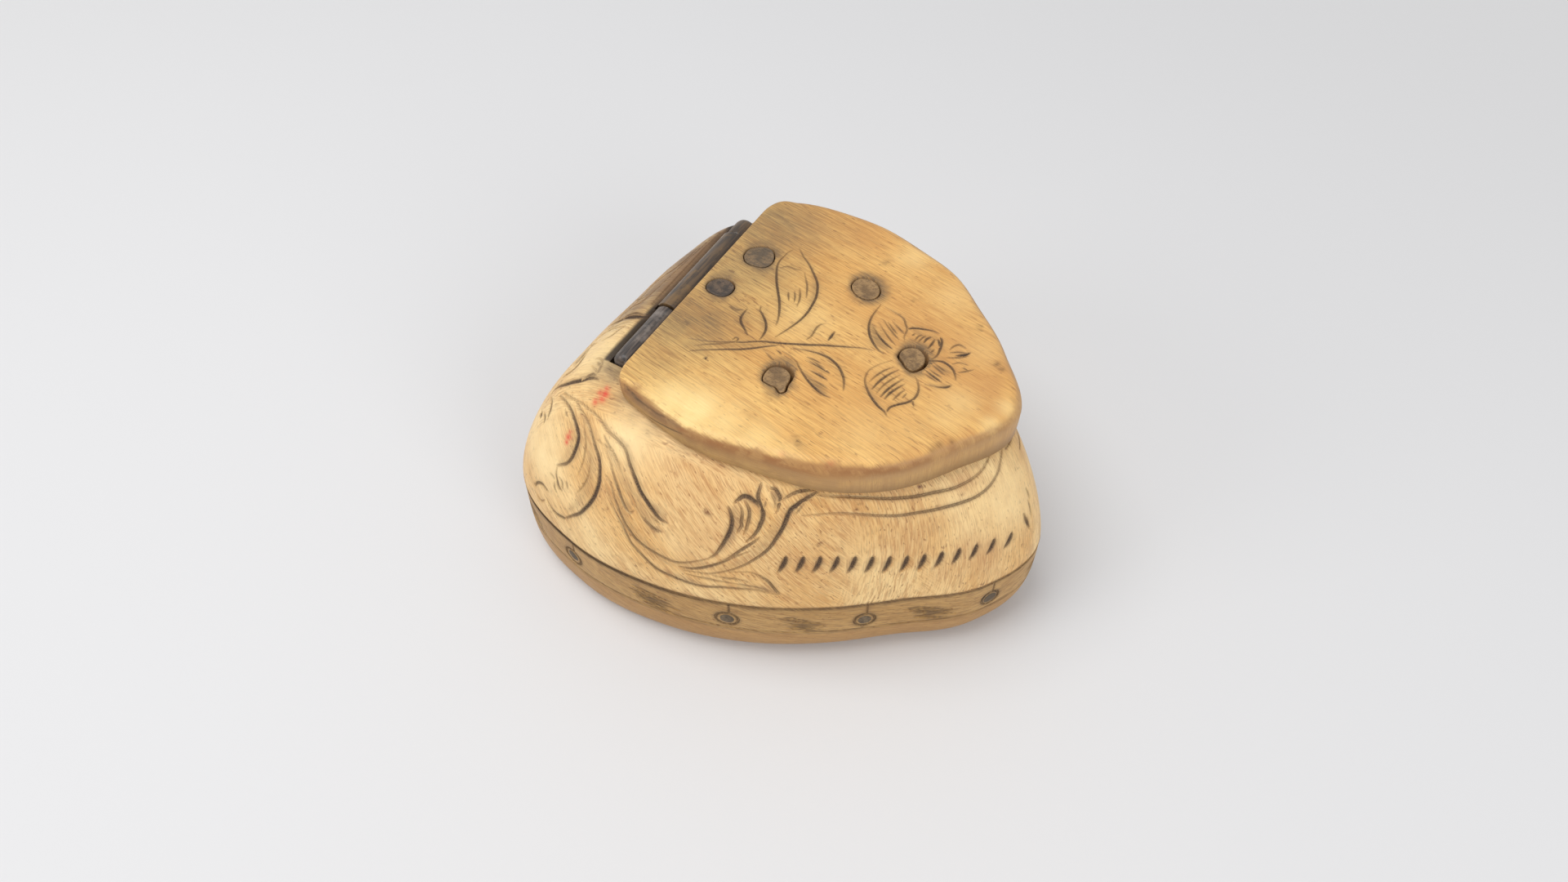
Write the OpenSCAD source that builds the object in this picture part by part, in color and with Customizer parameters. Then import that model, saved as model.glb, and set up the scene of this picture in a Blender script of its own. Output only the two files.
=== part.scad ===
/* [Body] */
// Length of the body at its seam, from the hinge side to the tip
body_length = 76; // [68:0.5:84]
// Width of the body at its seam
body_width = 66; // [62:0.5:74]
// Height of the shell, from the seam up to the rim at the hinge
shell_h = 21; // [16:0.5:28]
// Fullness of the shell's side: low is flared, high is round
belly = 1.4; // [1.2:0.05:2]
// Width of the flat rim round the mouth
rim_w = 3.5; // [2.5:0.1:4.5]
// Thickness of the shell under the rim
roof_t = 3.6; // [3.2:0.1:5]

/* [Base] */
// Height of the base, from the table up to the seam
base_h = 13.5; // [12:0.5:18]
// Wall of the base round the shell's lip
base_wall = 2.6; // [2:0.1:3.2]
// Thickness of the base's floor
floor_t = 3.5; // [2.5:0.1:4.5]
// How far the base's band swells past the seam
band_swell = 0.4; // [0:0.1:1]
// How far the base draws in to its foot under the tip
foot_in_tip = 5.5; // [3:0.5:6]
// How far the base draws in to its foot under the hinge
foot_in_back = 0.5; // [0.5:0.5:4]
// Height of the fine line cut round the band
band_line_z = 7.4; // [5:0.1:8]
// Depth of the cut line and of the bevels at the seam
line_cut = 0.3; // [0.2:0.05:0.4]

/* [Lip] */
// How far the shell's lip reaches down inside the base
lip_h = 6.5; // [6:0.1:7.5]
// Thickness of the lip
lip_t = 2.2; // [1.8:0.1:3]
// Clearance round the lip
lip_gap = 0.1; // [0.05:0.05:0.2]

/* [Lid] */
// Length of the lid, from the hinge edge to the tip
lid_length = 48.5; // [44:0.5:52]
// Width of the lid
lid_width = 49; // [46:0.5:54]
// Thickness of the lid at the hinge
lid_t_hinge = 3.3; // [2.8:0.1:5]
// Thickness of the lid at the tip
lid_t_tip = 6.3; // [4.5:0.1:8]
// How far the lid stands out over the shell's neck
lid_over = 1.5; // [0.8:0.1:2.5]
// Rounding of the lid's upper edge
lid_round = 1.3; // [0.6:0.1:1.4]
// Gap between the lid and the rim
lid_gap = 0.2; // [0.1:0.05:0.3]
// Thickness of the liner plate under the lid
liner_t = 1.8; // [1.2:0.1:3]
// Clearance of the liner in the mouth
liner_gap = 0.9; // [0.8:0.1:1.5]

/* [Hinge] */
// Distance of the lid's hinge edge behind the plan centre
hinge_back = 18.5; // [17.5:0.5:20]
// Diameter of the hinge barrel
barrel_d = 3.8; // [3.4:0.1:4.2]
// Diameter of the hinge pin
pin_d = 1.6; // [1.2:0.1:1.8]
// Running clearance of the pin in the knuckles
pin_gap = 0.05; // [0.03:0.01:0.08]
// Clearance between the barrel and the lid's edge
barrel_gap = 0.2; // [0.15:0.05:0.3]
// Clearance round the lid's own knuckle in the shell
knuckle_gap = 0.5; // [0.4:0.05:0.6]
// Sideways clearance between knuckles
side_gap = 0.15; // [0.1:0.05:0.3]
// Place of the near end of the hinge along its axis
hinge_y = -16.5; // [-17:0.5:-15]
// Length of the near knuckle
near_len = 11.5; // [9:0.5:12]
// Length of the lid's knuckle
mid_len = 18; // [17:0.5:19]
// Length of the far knuckle
far_len = 4; // [3:0.5:5]
// Length of the strap under the lid
strap_len = 8.5; // [8:0.5:12]
// Thickness of the strap
strap_t = 1; // [0.8:0.1:1.4]
// Clearance of the strap in its recess
strap_gap = 0.05; // [0.03:0.01:0.1]
// Width of the shell's shoulder behind the hinge edge
shoulder_w = 5.4; // [5.2:0.1:6.5]
// Width of the ledge in front of the hinge edge
ledge_w = 2.5; // [2:0.1:3]

/* [Pegs] */
// Diameter of the lid's pegs
lid_peg_d = 3.8; // [3:0.1:4.2]
// Diameter of the base's pegs
base_peg_d = 2.6; // [2:0.1:3]
// Depth of the base's pegs below the seam
base_peg_drop = 3.8; // [3.4:0.1:4.2]
// How far the base's pegs bite into the lip
base_peg_bite = 1.3; // [0.8:0.1:1.4]
// Clearance round every peg
peg_gap = 0.05; // [0.03:0.01:0.1]

/* [Carving] */
// Width of the carved lines
carve_w = 0.45; // [0.3:0.05:0.6]
// Depth of the carved lines
carve_depth = 0.25; // [0.15:0.05:0.35]

/* [Hidden] */
$fn = 48;

// Outlines carved by eye: radii from the plan centre every 20 degrees from the tip
SEAM_FORM = [36, 30, 27.5, 29, 32, 34.5, 37, 38.5, 38, 36.5, 39, 44, 41, 36.5, 33, 31, 31, 34.5];
LID_FORM = [28.5, 25, 23, 23, 23.5, 25, 27, 28.5, 30.5, 31.5, 30.5, 28.5, 25.5, 24, 23, 24, 25, 26];
// Places of the lid's pegs, measured from the middle of the hinge edge
LID_PEGS = [[3, 0.5], [4.7, 9], [21, 10.5], [18.5, -10.5], [32.5, 1]];
// Directions of the base's pegs, set out by eye about a thumb's width apart
BASE_PEGS = [276, 310, 342, 15, 47, 80, 113, 146, 178, 209, 240];
// The sprig carved in the lid, measured from the middle of the hinge edge: two lines of its stem, then
// its leaves, its bud and its petals, each with its root, direction, length, half width and inner cuts
STEMS = [
    [[5.5, -10.5], [12, -7.5], [17.5, -5], [23, -2.3], [27.5, 0]],
    [[6, -12], [11, -9.6], [15, -7.2], [17.5, -5.8]]
];
LEAVES = [
    [14.5, -3, 110, 17, 3.1, 3],
    [12.5, -6, 120, 7, 1.8, 0],
    [17.5, -5.5, -27, 10.5, 2.7, 4],
    [29.5, 1.7, 125, 8.5, 2.5, 4],
    [32.7, 3.7, 62, 4, 2.5, 3],
    [35.2, 0.9, -18, 4.5, 2, 3],
    [32.9, -1.6, -83, 8.3, 3.3, 6]
];
// The double border carved under the lid's edge, from the front to the far side, as heights on the shell
BORDERS = [0.69, 0.82];
border_first = -62;
border_last = 128;
// Directions at which the outlines are drawn
STEP = 5;
TURN = [for (a = [0:STEP:360 - STEP]) a];
COLUMNS = len(TURN);
corner_soft = 3.2;
foot_turn = -25;
belly_lean = 0.14;
foot_round = 2.7;
bevel = line_cut;
slope = (lid_t_tip - lid_t_hinge) / lid_length;
tilt = atan(slope);
rim_back_z = base_h + shell_h;
under_back_z = rim_back_z + lid_gap;
lid_top = under_back_z + lid_t_hinge;
axis_x = -hinge_back - barrel_gap - barrel_d / 2;
axis_z = under_back_z;
lip_in = base_wall + lip_gap + lip_t;
base_peg_z = base_h - base_peg_drop;
mid_y = hinge_y + near_len + side_gap;
far_y = mid_y + mid_len + side_gap;

// A smooth closed curve through radii set at equal angles
function wrap(i, n) = (i % n + n) % n;
function radius_at(form, a) =
    let (n = len(form), u = wrap(a, 360) * n / 360, i = floor(u), f = u - i)
    let (p = form[wrap(i - 1, n)], q = form[wrap(i, n)], r = form[wrap(i + 1, n)], s = form[wrap(i + 2, n)])
    q + (r - p) * f / 2 + (2 * p - 5 * q + 4 * r - s) * f * f / 2 + (3 * q - p - 3 * r + s) * f * f * f / 2;
function form_at(form, a) = radius_at(form, a) * [cos(a), sin(a)];
function span(form, axis) =
    let (v = [for (a = TURN) form_at(form, a)[axis]]) max(v) - min(v);

// The lesser of two lengths, with the corner between them softened
function soft_min(a, b, k) =
    let (h = max(0, min(1, 0.5 + (b - a) / k / 2))) b * (1 - h) + a * h - k * h * (1 - h);
// A point drawn in towards the centre by a length, and one kept in front of the line x = -back
function drawn_in(p, d) = p * (1 - d / norm(p));
function kept_in(p, back) =
    let (m = norm(p), c = -p.x / m) c > 0.05 ? p * soft_min(m, back / c, corner_soft) / m : p;

// The outlines of the seam, the lid, the neck under the lid, the mouth and the liner
seam_scale = [body_length - 2 * band_swell, body_width - 2 * band_swell];
function seam_xy(a) = let (p = form_at(SEAM_FORM, a))
    [p.x * seam_scale.x / span(SEAM_FORM, 0), p.y * seam_scale.y / span(SEAM_FORM, 1)];
function lid_form_xy(a) = let (p = form_at(LID_FORM, a))
    [p.x * (lid_length - hinge_back) / LID_FORM[0], p.y * lid_width / span(LID_FORM, 1)];
function lid_xy(a) = kept_in(lid_form_xy(a), hinge_back);
function neck_xy(a) = kept_in(drawn_in(lid_form_xy(a), lid_over), hinge_back + shoulder_w);
function mouth_xy(a) = kept_in(drawn_in(lid_form_xy(a), lid_over + rim_w), hinge_back - ledge_w);
function liner_xy(a) = drawn_in(mouth_xy(a), liner_gap);

// The sloping planes of the rim and of the lid's underside
function rim_z(x) = rim_back_z - slope * (x + hinge_back);
function under_z(x) = rim_z(x) + lid_gap;

// The curved sides: t runs from 0 at the seam to 1 at the rim, or at the foot
function bulge(t, n) = [pow(cos(90 * t), 2 / n), pow(sin(90 * t), 2 / n)];
function shell_at(a, t) =
    let (s = seam_xy(a), k = neck_xy(a), b = bulge(t, belly - belly_lean * sin(a)), p = k + (s - k) * b[0])
    [p.x, p.y, base_h + (rim_z(k.x) - base_h) * b[1]];
function cavity_at(a, t) =
    let (s = drawn_in(seam_xy(a), lip_in), k = mouth_xy(a), b = bulge(t, belly), p = k + (s - k) * b[0])
    [p.x, p.y, base_h + (rim_z(k.x) - roof_t - base_h) * b[1]];
function foot_in(a) =
    (foot_in_tip + foot_in_back) / 2 + (foot_in_tip - foot_in_back) / 2 * cos(a - foot_turn);
function band_xy(a, t) =
    drawn_in(seam_xy(a), foot_in(a) * (1 - bulge(t, foot_round)[0]) - band_swell * sin(180 * t));
function band_z(t) = base_h * (1 - bulge(t, foot_round)[1]);
function band_ring(t) = [for (a = TURN) let (p = band_xy(a, t)) [p.x, p.y, band_z(t)]];
function band_t(z) = asin(pow(1 - z / base_h, foot_round / 2)) / 90;

// How deep the shell's border is cut at each direction, with soft ends
function border_cut(a) =
    let (b = wrap(a + 180, 360) - 180)
    carve_depth * max(0, min(1, (b - border_first) / 10, (border_last - b) / 10));
function border_xyz(a, t, depth) =
    let (p = shell_at(a, t), q = drawn_in([p.x, p.y], depth)) [q.x, q.y, p.z - depth / 2];

// Carved lines: a swelling ribbon along points, the two edges of a leaf, and the cuts across it
function ribbon_side(line, hand) =
    let (n = len(line))
    [for (i = [0:n - 1])
        let (d = line[min(i + 1, n - 1)] - line[max(i - 1, 0)])
        line[i] + [-d.y, d.x] / norm(d) * hand * carve_w * (0.2 + 0.3 * sin(180 * i / (n - 1)))];
function ribbon(line) =
    let (n = len(line), right = ribbon_side(line, -1))
    concat(ribbon_side(line, 1), [for (i = [n - 1:-1:0]) right[i]]);
function leaf_point(leaf, along, across) =
    let (c = cos(leaf[2]), s = sin(leaf[2]), x = leaf[3] * along, y = leaf[4] * across)
    [leaf[0] + x * c - y * s, leaf[1] + x * s + y * c];
function leaf_edge(leaf, hand) =
    [for (s = [0:0.125:1]) leaf_point(leaf, s, hand * sin(180 * pow(s, 0.85)))];
function leaf_vein(leaf, k) =
    let (s = 0.2 + 0.5 * k / leaf[5])
    [for (across = [-0.55, -0.15, 0.3]) leaf_point(leaf, s + across * 0.1, across)];

// The middle of the plan, so that the frame's origin stands under it
outer = [for (a = TURN, t = [0.1, 0.2, 0.3]) band_xy(a, t)];
plan_mid = [for (k = [0, 1]) (max([for (p = outer) p[k]]) + min([for (p = outer) p[k]])) / 2];

// Rings of points, and solids lofted through them
function level(fn_xy, z) = [for (a = TURN) let (p = fn_xy(a)) [p.x, p.y, z]];
function sloped(fn_xy, fn_z, rise) = [for (a = TURN) let (p = fn_xy(a)) [p.x, p.y, fn_z(p.x) + rise]];
function quad(i, k, j) =
    let (n = (j + 1) % COLUMNS)
    let (a = i * COLUMNS + j, b = k * COLUMNS + j, c = k * COLUMNS + n, d = i * COLUMNS + n)
    [[a, b, c], [a, c, d]];
function wall_faces(first, last) = [for (i = [first:last - 1], j = [0:COLUMNS - 1]) each quad(i, i + 1, j)];
module loft_solid(rings) {
    n = len(rings);
    bottom = [for (j = [0:COLUMNS - 1]) j];
    top = [for (j = [COLUMNS - 1:-1:0]) (n - 1) * COLUMNS + j];
    polyhedron([for (r = rings) each r], concat(wall_faces(0, n - 1), [bottom, top]), convexity = 6);
}
module loft_tube(rings) {
    n = len(rings);
    closing = [for (j = [0:COLUMNS - 1]) each quad(n - 1, 0, j)];
    polyhedron([for (r = rings) each r], concat(wall_faces(0, n - 1), closing), convexity = 8);
}

// Places shared by pegs and their holes
module at_lid_peg(i) {
    translate([LID_PEGS[i].x - hinge_back, LID_PEGS[i].y, 0]) children();
}
module at_base_peg(i) {
    a = BASE_PEGS[i];
    t = band_t(base_peg_z);
    p = band_xy(a, t);
    q = band_xy(a + 1, t) - band_xy(a - 1, t);
    translate([p.x, p.y, base_peg_z]) rotate([0, 90, atan2(q.y, q.x) - 90]) children();
}
module base_peg_holes() {
    reach = base_wall + lip_gap + base_peg_bite + peg_gap;
    for (i = [0:len(BASE_PEGS) - 1])
        at_base_peg(i) translate([0, 0, -reach]) cylinder(h = reach + 2, d = base_peg_d + 2 * peg_gap);
}
module along_hinge(y) {
    translate([axis_x, y, axis_z]) rotate([-90, 0, 0]) children();
}
module under_lid() {
    translate([-hinge_back, 0, under_back_z]) rotate([0, tilt, 0]) children();
}
module in_frame() {
    translate([-plan_mid[0], -plan_mid[1], 0]) children();
}

module carved_line(line) {
    linear_extrude(height = carve_depth + 1) polygon(ribbon(line));
}
module lid_carving() {
    translate([-hinge_back, 0, lid_top - carve_depth]) {
        for (line = STEMS) carved_line(line);
        for (leaf = LEAVES, hand = [-1, 1]) carved_line(leaf_edge(leaf, hand));
        for (leaf = LEAVES, k = [1:1:leaf[5]]) carved_line(leaf_vein(leaf, k));
    }
}

module body_shell() {
    low_side = [for (t = [0.08:0.092:0.65]) [for (a = TURN) shell_at(a, t)]];
    border = [for (t = BORDERS, k = [-1:1])
        [for (a = TURN) border_xyz(a, t + 0.014 * k, k == 0 ? border_cut(a) : 0)]];
    side = concat(low_side, border, [[for (a = TURN) shell_at(a, 0.91)]]);
    seam = [for (a = TURN) let (p = drawn_in(seam_xy(a), bevel)) [p.x, p.y, base_h]];
    seam_top = [for (a = TURN) let (p = shell_at(a, 0)) [p.x, p.y, base_h + bevel]];
    inside = [for (t = [1:-0.2:0.2]) [for (a = TURN) cavity_at(a, t)]];
    lip_z = base_h - lip_h;
    rings = concat(
        [seam, seam_top], side,
        [sloped(function(a) neck_xy(a), function(x) rim_z(x), 0)],
        [sloped(function(a) mouth_xy(a), function(x) rim_z(x), 0)],
        inside,
        [level(function(a) drawn_in(seam_xy(a), lip_in), base_h)],
        [level(function(a) drawn_in(seam_xy(a), lip_in), lip_z)],
        [level(function(a) drawn_in(seam_xy(a), lip_in - lip_t), lip_z)],
        [level(function(a) drawn_in(seam_xy(a), lip_in - lip_t), base_h)]
    );
    color("wheat") in_frame() difference() {
        loft_tube(rings);
        along_hinge(hinge_y - side_gap)
            cylinder(h = near_len + 2 * side_gap, d = barrel_d + 2 * peg_gap);
        along_hinge(far_y - side_gap)
            cylinder(h = far_len + 2 * side_gap, d = barrel_d + 2 * peg_gap);
        along_hinge(mid_y - side_gap)
            cylinder(h = mid_len + 2 * side_gap, d = barrel_d + 2 * knuckle_gap);
        base_peg_holes();
    }
}

module base_dish() {
    line_t = band_t(band_line_z);
    foot = [for (t = [1, 0.94, 0.85, 0.75]) t];
    band = [for (t = [line_t * 0.7, line_t * 0.4, line_t * 0.2]) t];
    ledge_z = base_h - lip_h - lip_gap;
    rings = concat(
        [for (t = concat(foot, [line_t + 0.03])) band_ring(t)],
        [level(function(a) drawn_in(band_xy(a, line_t), line_cut), band_line_z)],
        [for (t = concat([line_t - 0.03], band)) band_ring(t)],
        [level(function(a) seam_xy(a), base_h - bevel)],
        [level(function(a) drawn_in(seam_xy(a), bevel), base_h)],
        [level(function(a) drawn_in(seam_xy(a), base_wall), base_h)],
        [level(function(a) drawn_in(seam_xy(a), base_wall), ledge_z)],
        [level(function(a) drawn_in(seam_xy(a), lip_in), ledge_z)],
        [level(function(a) drawn_in(seam_xy(a), lip_in + 0.6), floor_t + 1)],
        [level(function(a) drawn_in(seam_xy(a), lip_in + 2.4), floor_t)]
    );
    color("burlywood") in_frame() difference() {
        loft_solid(rings);
        base_peg_holes();
    }
}

module lid_plate() {
    side = [for (k = [0:30:90])
        level(function(a) drawn_in(lid_xy(a), lid_round * (1 - cos(k))), lid_top - lid_round * (1 - sin(k)))];
    rings = concat(
        [sloped(function(a) drawn_in(lid_xy(a), lid_round / 2), function(x) under_z(x), 0)],
        [sloped(function(a) lid_xy(a), function(x) under_z(x), lid_round / 2)],
        side
    );
    color("navajowhite") in_frame() difference() {
        loft_solid(rings);
        under_lid() translate([-2, mid_y - side_gap, -1])
            cube([strap_len + strap_gap + 2, mid_len + 2 * side_gap, strap_t + strap_gap + 1]);
        for (i = [0:len(LID_PEGS) - 1])
            at_lid_peg(i) translate([0, 0, base_h]) cylinder(h = lid_top, d = lid_peg_d + 2 * peg_gap);
        lid_carving();
    }
}

module lid_liner() {
    color("tan") in_frame() difference() {
        under_lid() translate([hinge_back, 0, -liner_t])
            linear_extrude(height = liner_t) polygon([for (a = TURN) liner_xy(a)]);
        for (i = [2:len(LID_PEGS) - 1])
            at_lid_peg(i) translate([0, 0, base_h]) cylinder(h = lid_top, d = lid_peg_d + 2 * peg_gap);
    }
}

module hinge_strap() {
    color("saddlebrown") in_frame() difference() {
        union() {
            along_hinge(mid_y) cylinder(h = mid_len, d = barrel_d);
            under_lid() translate([-barrel_gap - barrel_d / 2, mid_y, 0])
                cube([strap_len + barrel_gap + barrel_d / 2, mid_len, strap_t]);
        }
        along_hinge(mid_y - 1) cylinder(h = mid_len + 2, d = pin_d + 2 * pin_gap);
        for (i = [0:1])
            at_lid_peg(i) translate([0, 0, base_h]) cylinder(h = lid_top, d = lid_peg_d + 2 * peg_gap);
    }
}

// A knuckle with one domed end, drilled for the pin as far as the dome
module knuckle(length, dome) {
    r = barrel_d / 2;
    difference() {
        rotate_extrude() polygon(concat(
            [[0, length], [0, 0]],
            [for (k = [0:15:90]) [r - dome + dome * sin(k), dome * (1 - cos(k))]],
            [[r, length]]
        ));
        translate([0, 0, dome]) cylinder(h = length, d = pin_d + 2 * pin_gap);
    }
}
module hinge_knuckle_near() {
    color("dimgray") in_frame() along_hinge(hinge_y) knuckle(near_len, 1.2);
}
module hinge_knuckle_far() {
    color("dimgray") in_frame() along_hinge(far_y + far_len) mirror([0, 0, 1]) knuckle(far_len, 1.2);
}
module hinge_pin() {
    start = hinge_y + 1.2 + side_gap;
    reach = far_y + far_len - 1.2 - side_gap - start;
    color("sienna") in_frame() along_hinge(start) cylinder(h = reach, d = pin_d);
}

// A peg through the lid: the first two end in the strap, the others in the liner
module lid_peg(i) {
    high_side = LID_PEGS[i].x - hinge_back - lid_peg_d / 2;
    foot_z = under_z(high_side) - (i < 2 ? 0 : liner_t);
    color("peru") in_frame() at_lid_peg(i)
        translate([0, 0, foot_z]) cylinder(h = lid_top - foot_z, d = lid_peg_d);
}
// A peg through the base's wall into the lip
module base_peg(i) {
    reach = base_wall + lip_gap + base_peg_bite;
    color("peru") in_frame() at_base_peg(i) translate([0, 0, -reach]) cylinder(h = reach, d = base_peg_d);
}

body_shell();
base_dish();
lid_plate();
lid_liner();
hinge_strap();
hinge_knuckle_near();
hinge_knuckle_far();
hinge_pin();
for (i = [0:len(LID_PEGS) - 1])
    lid_peg(i);
for (i = [0:len(BASE_PEGS) - 1])
    base_peg(i);
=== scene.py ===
"""An engraved snuff box of bone: a domed shell pegged to a base, and a pegged lid on a horn hinge."""

import math

import bpy
import numpy as np
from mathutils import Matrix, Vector
from mathutils.bvhtree import BVHTree


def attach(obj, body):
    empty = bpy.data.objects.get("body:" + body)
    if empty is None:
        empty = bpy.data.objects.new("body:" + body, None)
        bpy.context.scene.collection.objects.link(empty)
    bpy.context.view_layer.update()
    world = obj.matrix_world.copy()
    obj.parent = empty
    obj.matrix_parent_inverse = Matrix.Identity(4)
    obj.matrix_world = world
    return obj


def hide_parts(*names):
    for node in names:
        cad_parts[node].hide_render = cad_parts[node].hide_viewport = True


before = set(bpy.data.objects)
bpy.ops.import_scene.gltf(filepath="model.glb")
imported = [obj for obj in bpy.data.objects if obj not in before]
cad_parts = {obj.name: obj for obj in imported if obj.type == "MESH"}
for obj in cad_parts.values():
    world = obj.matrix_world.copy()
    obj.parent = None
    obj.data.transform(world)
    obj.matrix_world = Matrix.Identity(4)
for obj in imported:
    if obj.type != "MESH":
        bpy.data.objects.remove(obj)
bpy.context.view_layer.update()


# ---- The viewpoint ----
# A camera above and to the right of the hinge side's front corner, as the photograph was taken.
# It stands first because the engraving is laid on the bone along its lines of sight.
MM = 0.001
PHOTO = (1920, 1080)
FOCAL = 1304
CAMERA_TARGET = Vector((0.182, -6.689, 21.7)) * MM
CAMERA_AZIMUTH = math.radians(29.25)
CAMERA_ELEVATION = math.radians(50)
CAMERA_DISTANCE = 152.86 * MM

camera_back = Vector(
    (
        math.sin(CAMERA_AZIMUTH) * math.cos(CAMERA_ELEVATION),
        -math.cos(CAMERA_AZIMUTH) * math.cos(CAMERA_ELEVATION),
        math.sin(CAMERA_ELEVATION),
    )
)


def placed(name, data):
    """A new object in the scene, which shows the data."""
    thing = bpy.data.objects.new(name, data)
    bpy.context.scene.collection.objects.link(thing)
    return thing


camera_data = bpy.data.cameras.new("camera")
camera_data.sensor_width = 36
camera_data.lens = FOCAL / PHOTO[0] * camera_data.sensor_width
camera_data.clip_start = 0.01
camera = placed("camera", camera_data)
camera.location = CAMERA_TARGET + camera_back * CAMERA_DISTANCE
camera.rotation_euler = (-camera_back).to_track_quat("-Z", "Y").to_euler()
bpy.context.scene.camera = camera


def sight(px, py):
    """The direction of the line of sight through one pixel of the photograph."""
    right = Vector((0, 0, 1)).cross(camera_back).normalized()
    up = camera_back.cross(right)
    ray = right * (px - PHOTO[0] / 2) - up * (py - PHOTO[1] / 2) - camera_back * FOCAL
    return ray.normalized()


# ---- The table and the light ----
# A plain pale table that fades into a pale room all round, and three wide soft lamps: one over the
# box, one at its front and one on its right.
FLOOR_COLOUR = (0.74, 0.74, 0.75, 1)
FLOOR_FADE = (0.04, 0.8)
ROOM_COLOUR = (1, 1, 1, 1)
ROOM_LIGHT = 0.5
ROOM_SEEN = 0.9
LAMPS = {
    "lamp_over": ((-0.14, -0.1, 0.52), 0.36, 1.42),
    "lamp_front": ((-0.35, -0.45, 0.3), 0.3, 0.55),
    "lamp_right": ((0.46, -0.22, 0.28), 0.3, 0.86),
}


class Wire:
    """An output socket of a node tree. Arithmetic on it adds Math nodes to the tree."""

    def __init__(self, tree, socket=None):
        self.tree = tree
        self.socket = socket

    def add(self, kind, settings=None, sockets=None, out=0):
        """A node of one kind: its settings are set first, then the values or links of its sockets."""
        node = self.tree.nodes.new(kind)
        for key, value in (settings or {}).items():
            setattr(node, key, value)
        for key, value in (sockets or {}).items():
            if isinstance(key, int):
                socket = node.inputs[key]
            else:
                socket = next(s for s in node.inputs if s.name == key and s.enabled)
            if isinstance(value, Wire):
                self.tree.links.new(value.socket, socket)
            else:
                socket.default_value = value
        if isinstance(out, int):
            return Wire(self.tree, node.outputs[out] if node.outputs else None)
        return Wire(self.tree, next(s for s in node.outputs if s.name == out and s.enabled))

    def math(self, operation, first, second=0.0):
        return self.add("ShaderNodeMath", {"operation": operation}, {0: first, 1: second})

    def vector(self, operation, first, second=(0, 0, 0), out=0):
        return self.add("ShaderNodeVectorMath", {"operation": operation}, {0: first, 1: second}, out)

    def part(self, axis):
        """One of the three parts of a place."""
        return self.add("ShaderNodeSeparateXYZ", {}, {"Vector": self}, axis)

    def noise(self, scale, detail, rough=0.5):
        """Noise from 0 to 1 at this place."""
        settings = {"Vector": self, "Scale": scale, "Detail": detail, "Roughness": rough}
        return self.add("ShaderNodeTexNoise", {}, settings)

    def __add__(self, other):
        return self.math("ADD", self, other)

    def __radd__(self, other):
        return self.math("ADD", other, self)

    def __sub__(self, other):
        return self.math("SUBTRACT", self, other)

    def __rsub__(self, other):
        return self.math("SUBTRACT", other, self)

    def __mul__(self, other):
        return self.math("MULTIPLY", self, other)

    def __truediv__(self, other):
        return self.math("DIVIDE", self, other)

    def __pow__(self, other):
        return self.math("POWER", self, other)

    def clamped(self):
        """The same value, kept between 0 and 1."""
        return self.add("ShaderNodeClamp", {}, {"Value": self})

    def ramp(self, low, high):
        """0 below low, 1 above high, and smooth between them."""
        settings = {"interpolation_type": "SMOOTHSTEP"}
        return self.add("ShaderNodeMapRange", settings, {"Value": self, "From Min": low, "From Max": high})

    def blend(self, first, second):
        """The colour first where this value is 0, and second where it is 1."""
        colours = {"Factor": self, "A": first, "B": second}
        return self.add("ShaderNodeMix", {"data_type": "RGBA"}, colours, "Result")


def srgb(red, green, blue):
    """A colour as it is seen, in parts of 255, as the linear colour that Blender uses."""
    parts = [c / 255 for c in (red, green, blue)]
    return tuple(c / 12.92 if c <= 0.04045 else ((c + 0.055) / 1.055) ** 2.4 for c in parts) + (1,)


def new_material(name):
    """An empty material with its output node, and a wire to build from."""
    material = bpy.data.materials.new(name)
    material.use_nodes = True
    material.node_tree.nodes.clear()
    return material, Wire(material.node_tree)


def satin(wire, colour, rough, height, strength, depth, gloss=0.3):
    """A rubbed, satin surface of one colour with a fine relief."""
    relief = {"Height": height, "Strength": strength, "Distance": depth}
    bump = wire.add("ShaderNodeBump", {}, relief)
    look = {"Base Color": colour, "Roughness": rough, "Normal": bump, "Specular IOR Level": gloss}
    shader = wire.add("ShaderNodeBsdfPrincipled", {}, look)
    wire.add("ShaderNodeOutputMaterial", {}, {"Surface": shader})


def looked_at(wire):
    """1 for what is seen straight, in a gloss or through glass, and 0 for what only lights."""
    rays = ("Is Camera Ray", "Is Glossy Ray", "Is Transmission Ray")
    return sum(wire.add("ShaderNodeLightPath", out=ray) for ray in rays).clamped()


room = bpy.data.worlds.new("room")
room.use_nodes = True
room.node_tree.nodes.clear()
room_wire = Wire(room.node_tree)
room_seen = looked_at(room_wire) * (ROOM_SEEN - ROOM_LIGHT) + ROOM_LIGHT
room_light = room_wire.add("ShaderNodeBackground", {}, {"Color": ROOM_COLOUR, "Strength": room_seen})
room_wire.add("ShaderNodeOutputWorld", {}, {"Surface": room_light})
bpy.context.scene.world = room
bpy.context.scene.view_settings.view_transform = "Standard"

floor_material, wire = new_material("table_paint")
paint_sockets = {"Base Color": FLOOR_COLOUR, "Roughness": 0.9, "Specular IOR Level": 0.1}
paint = wire.add("ShaderNodeBsdfPrincipled", {}, paint_sockets)
haze = wire.add("ShaderNodeEmission", {}, {"Color": ROOM_COLOUR, "Strength": ROOM_SEEN})
place = wire.add("ShaderNodeTexCoord", out="Object")
away = wire.vector("LENGTH", place, out="Value").ramp(*FLOOR_FADE)
table = wire.add("ShaderNodeMixShader", {}, {0: away * looked_at(wire), 1: paint, 2: haze})
wire.add("ShaderNodeOutputMaterial", {}, {"Surface": table})
floor_mesh = bpy.data.meshes.new("table")
floor_mesh.from_pydata([(-3, -3, 0), (3, -3, 0), (3, 3, 0), (-3, 3, 0)], [], [(0, 1, 2, 3)])
floor_mesh.materials.append(floor_material)
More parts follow.
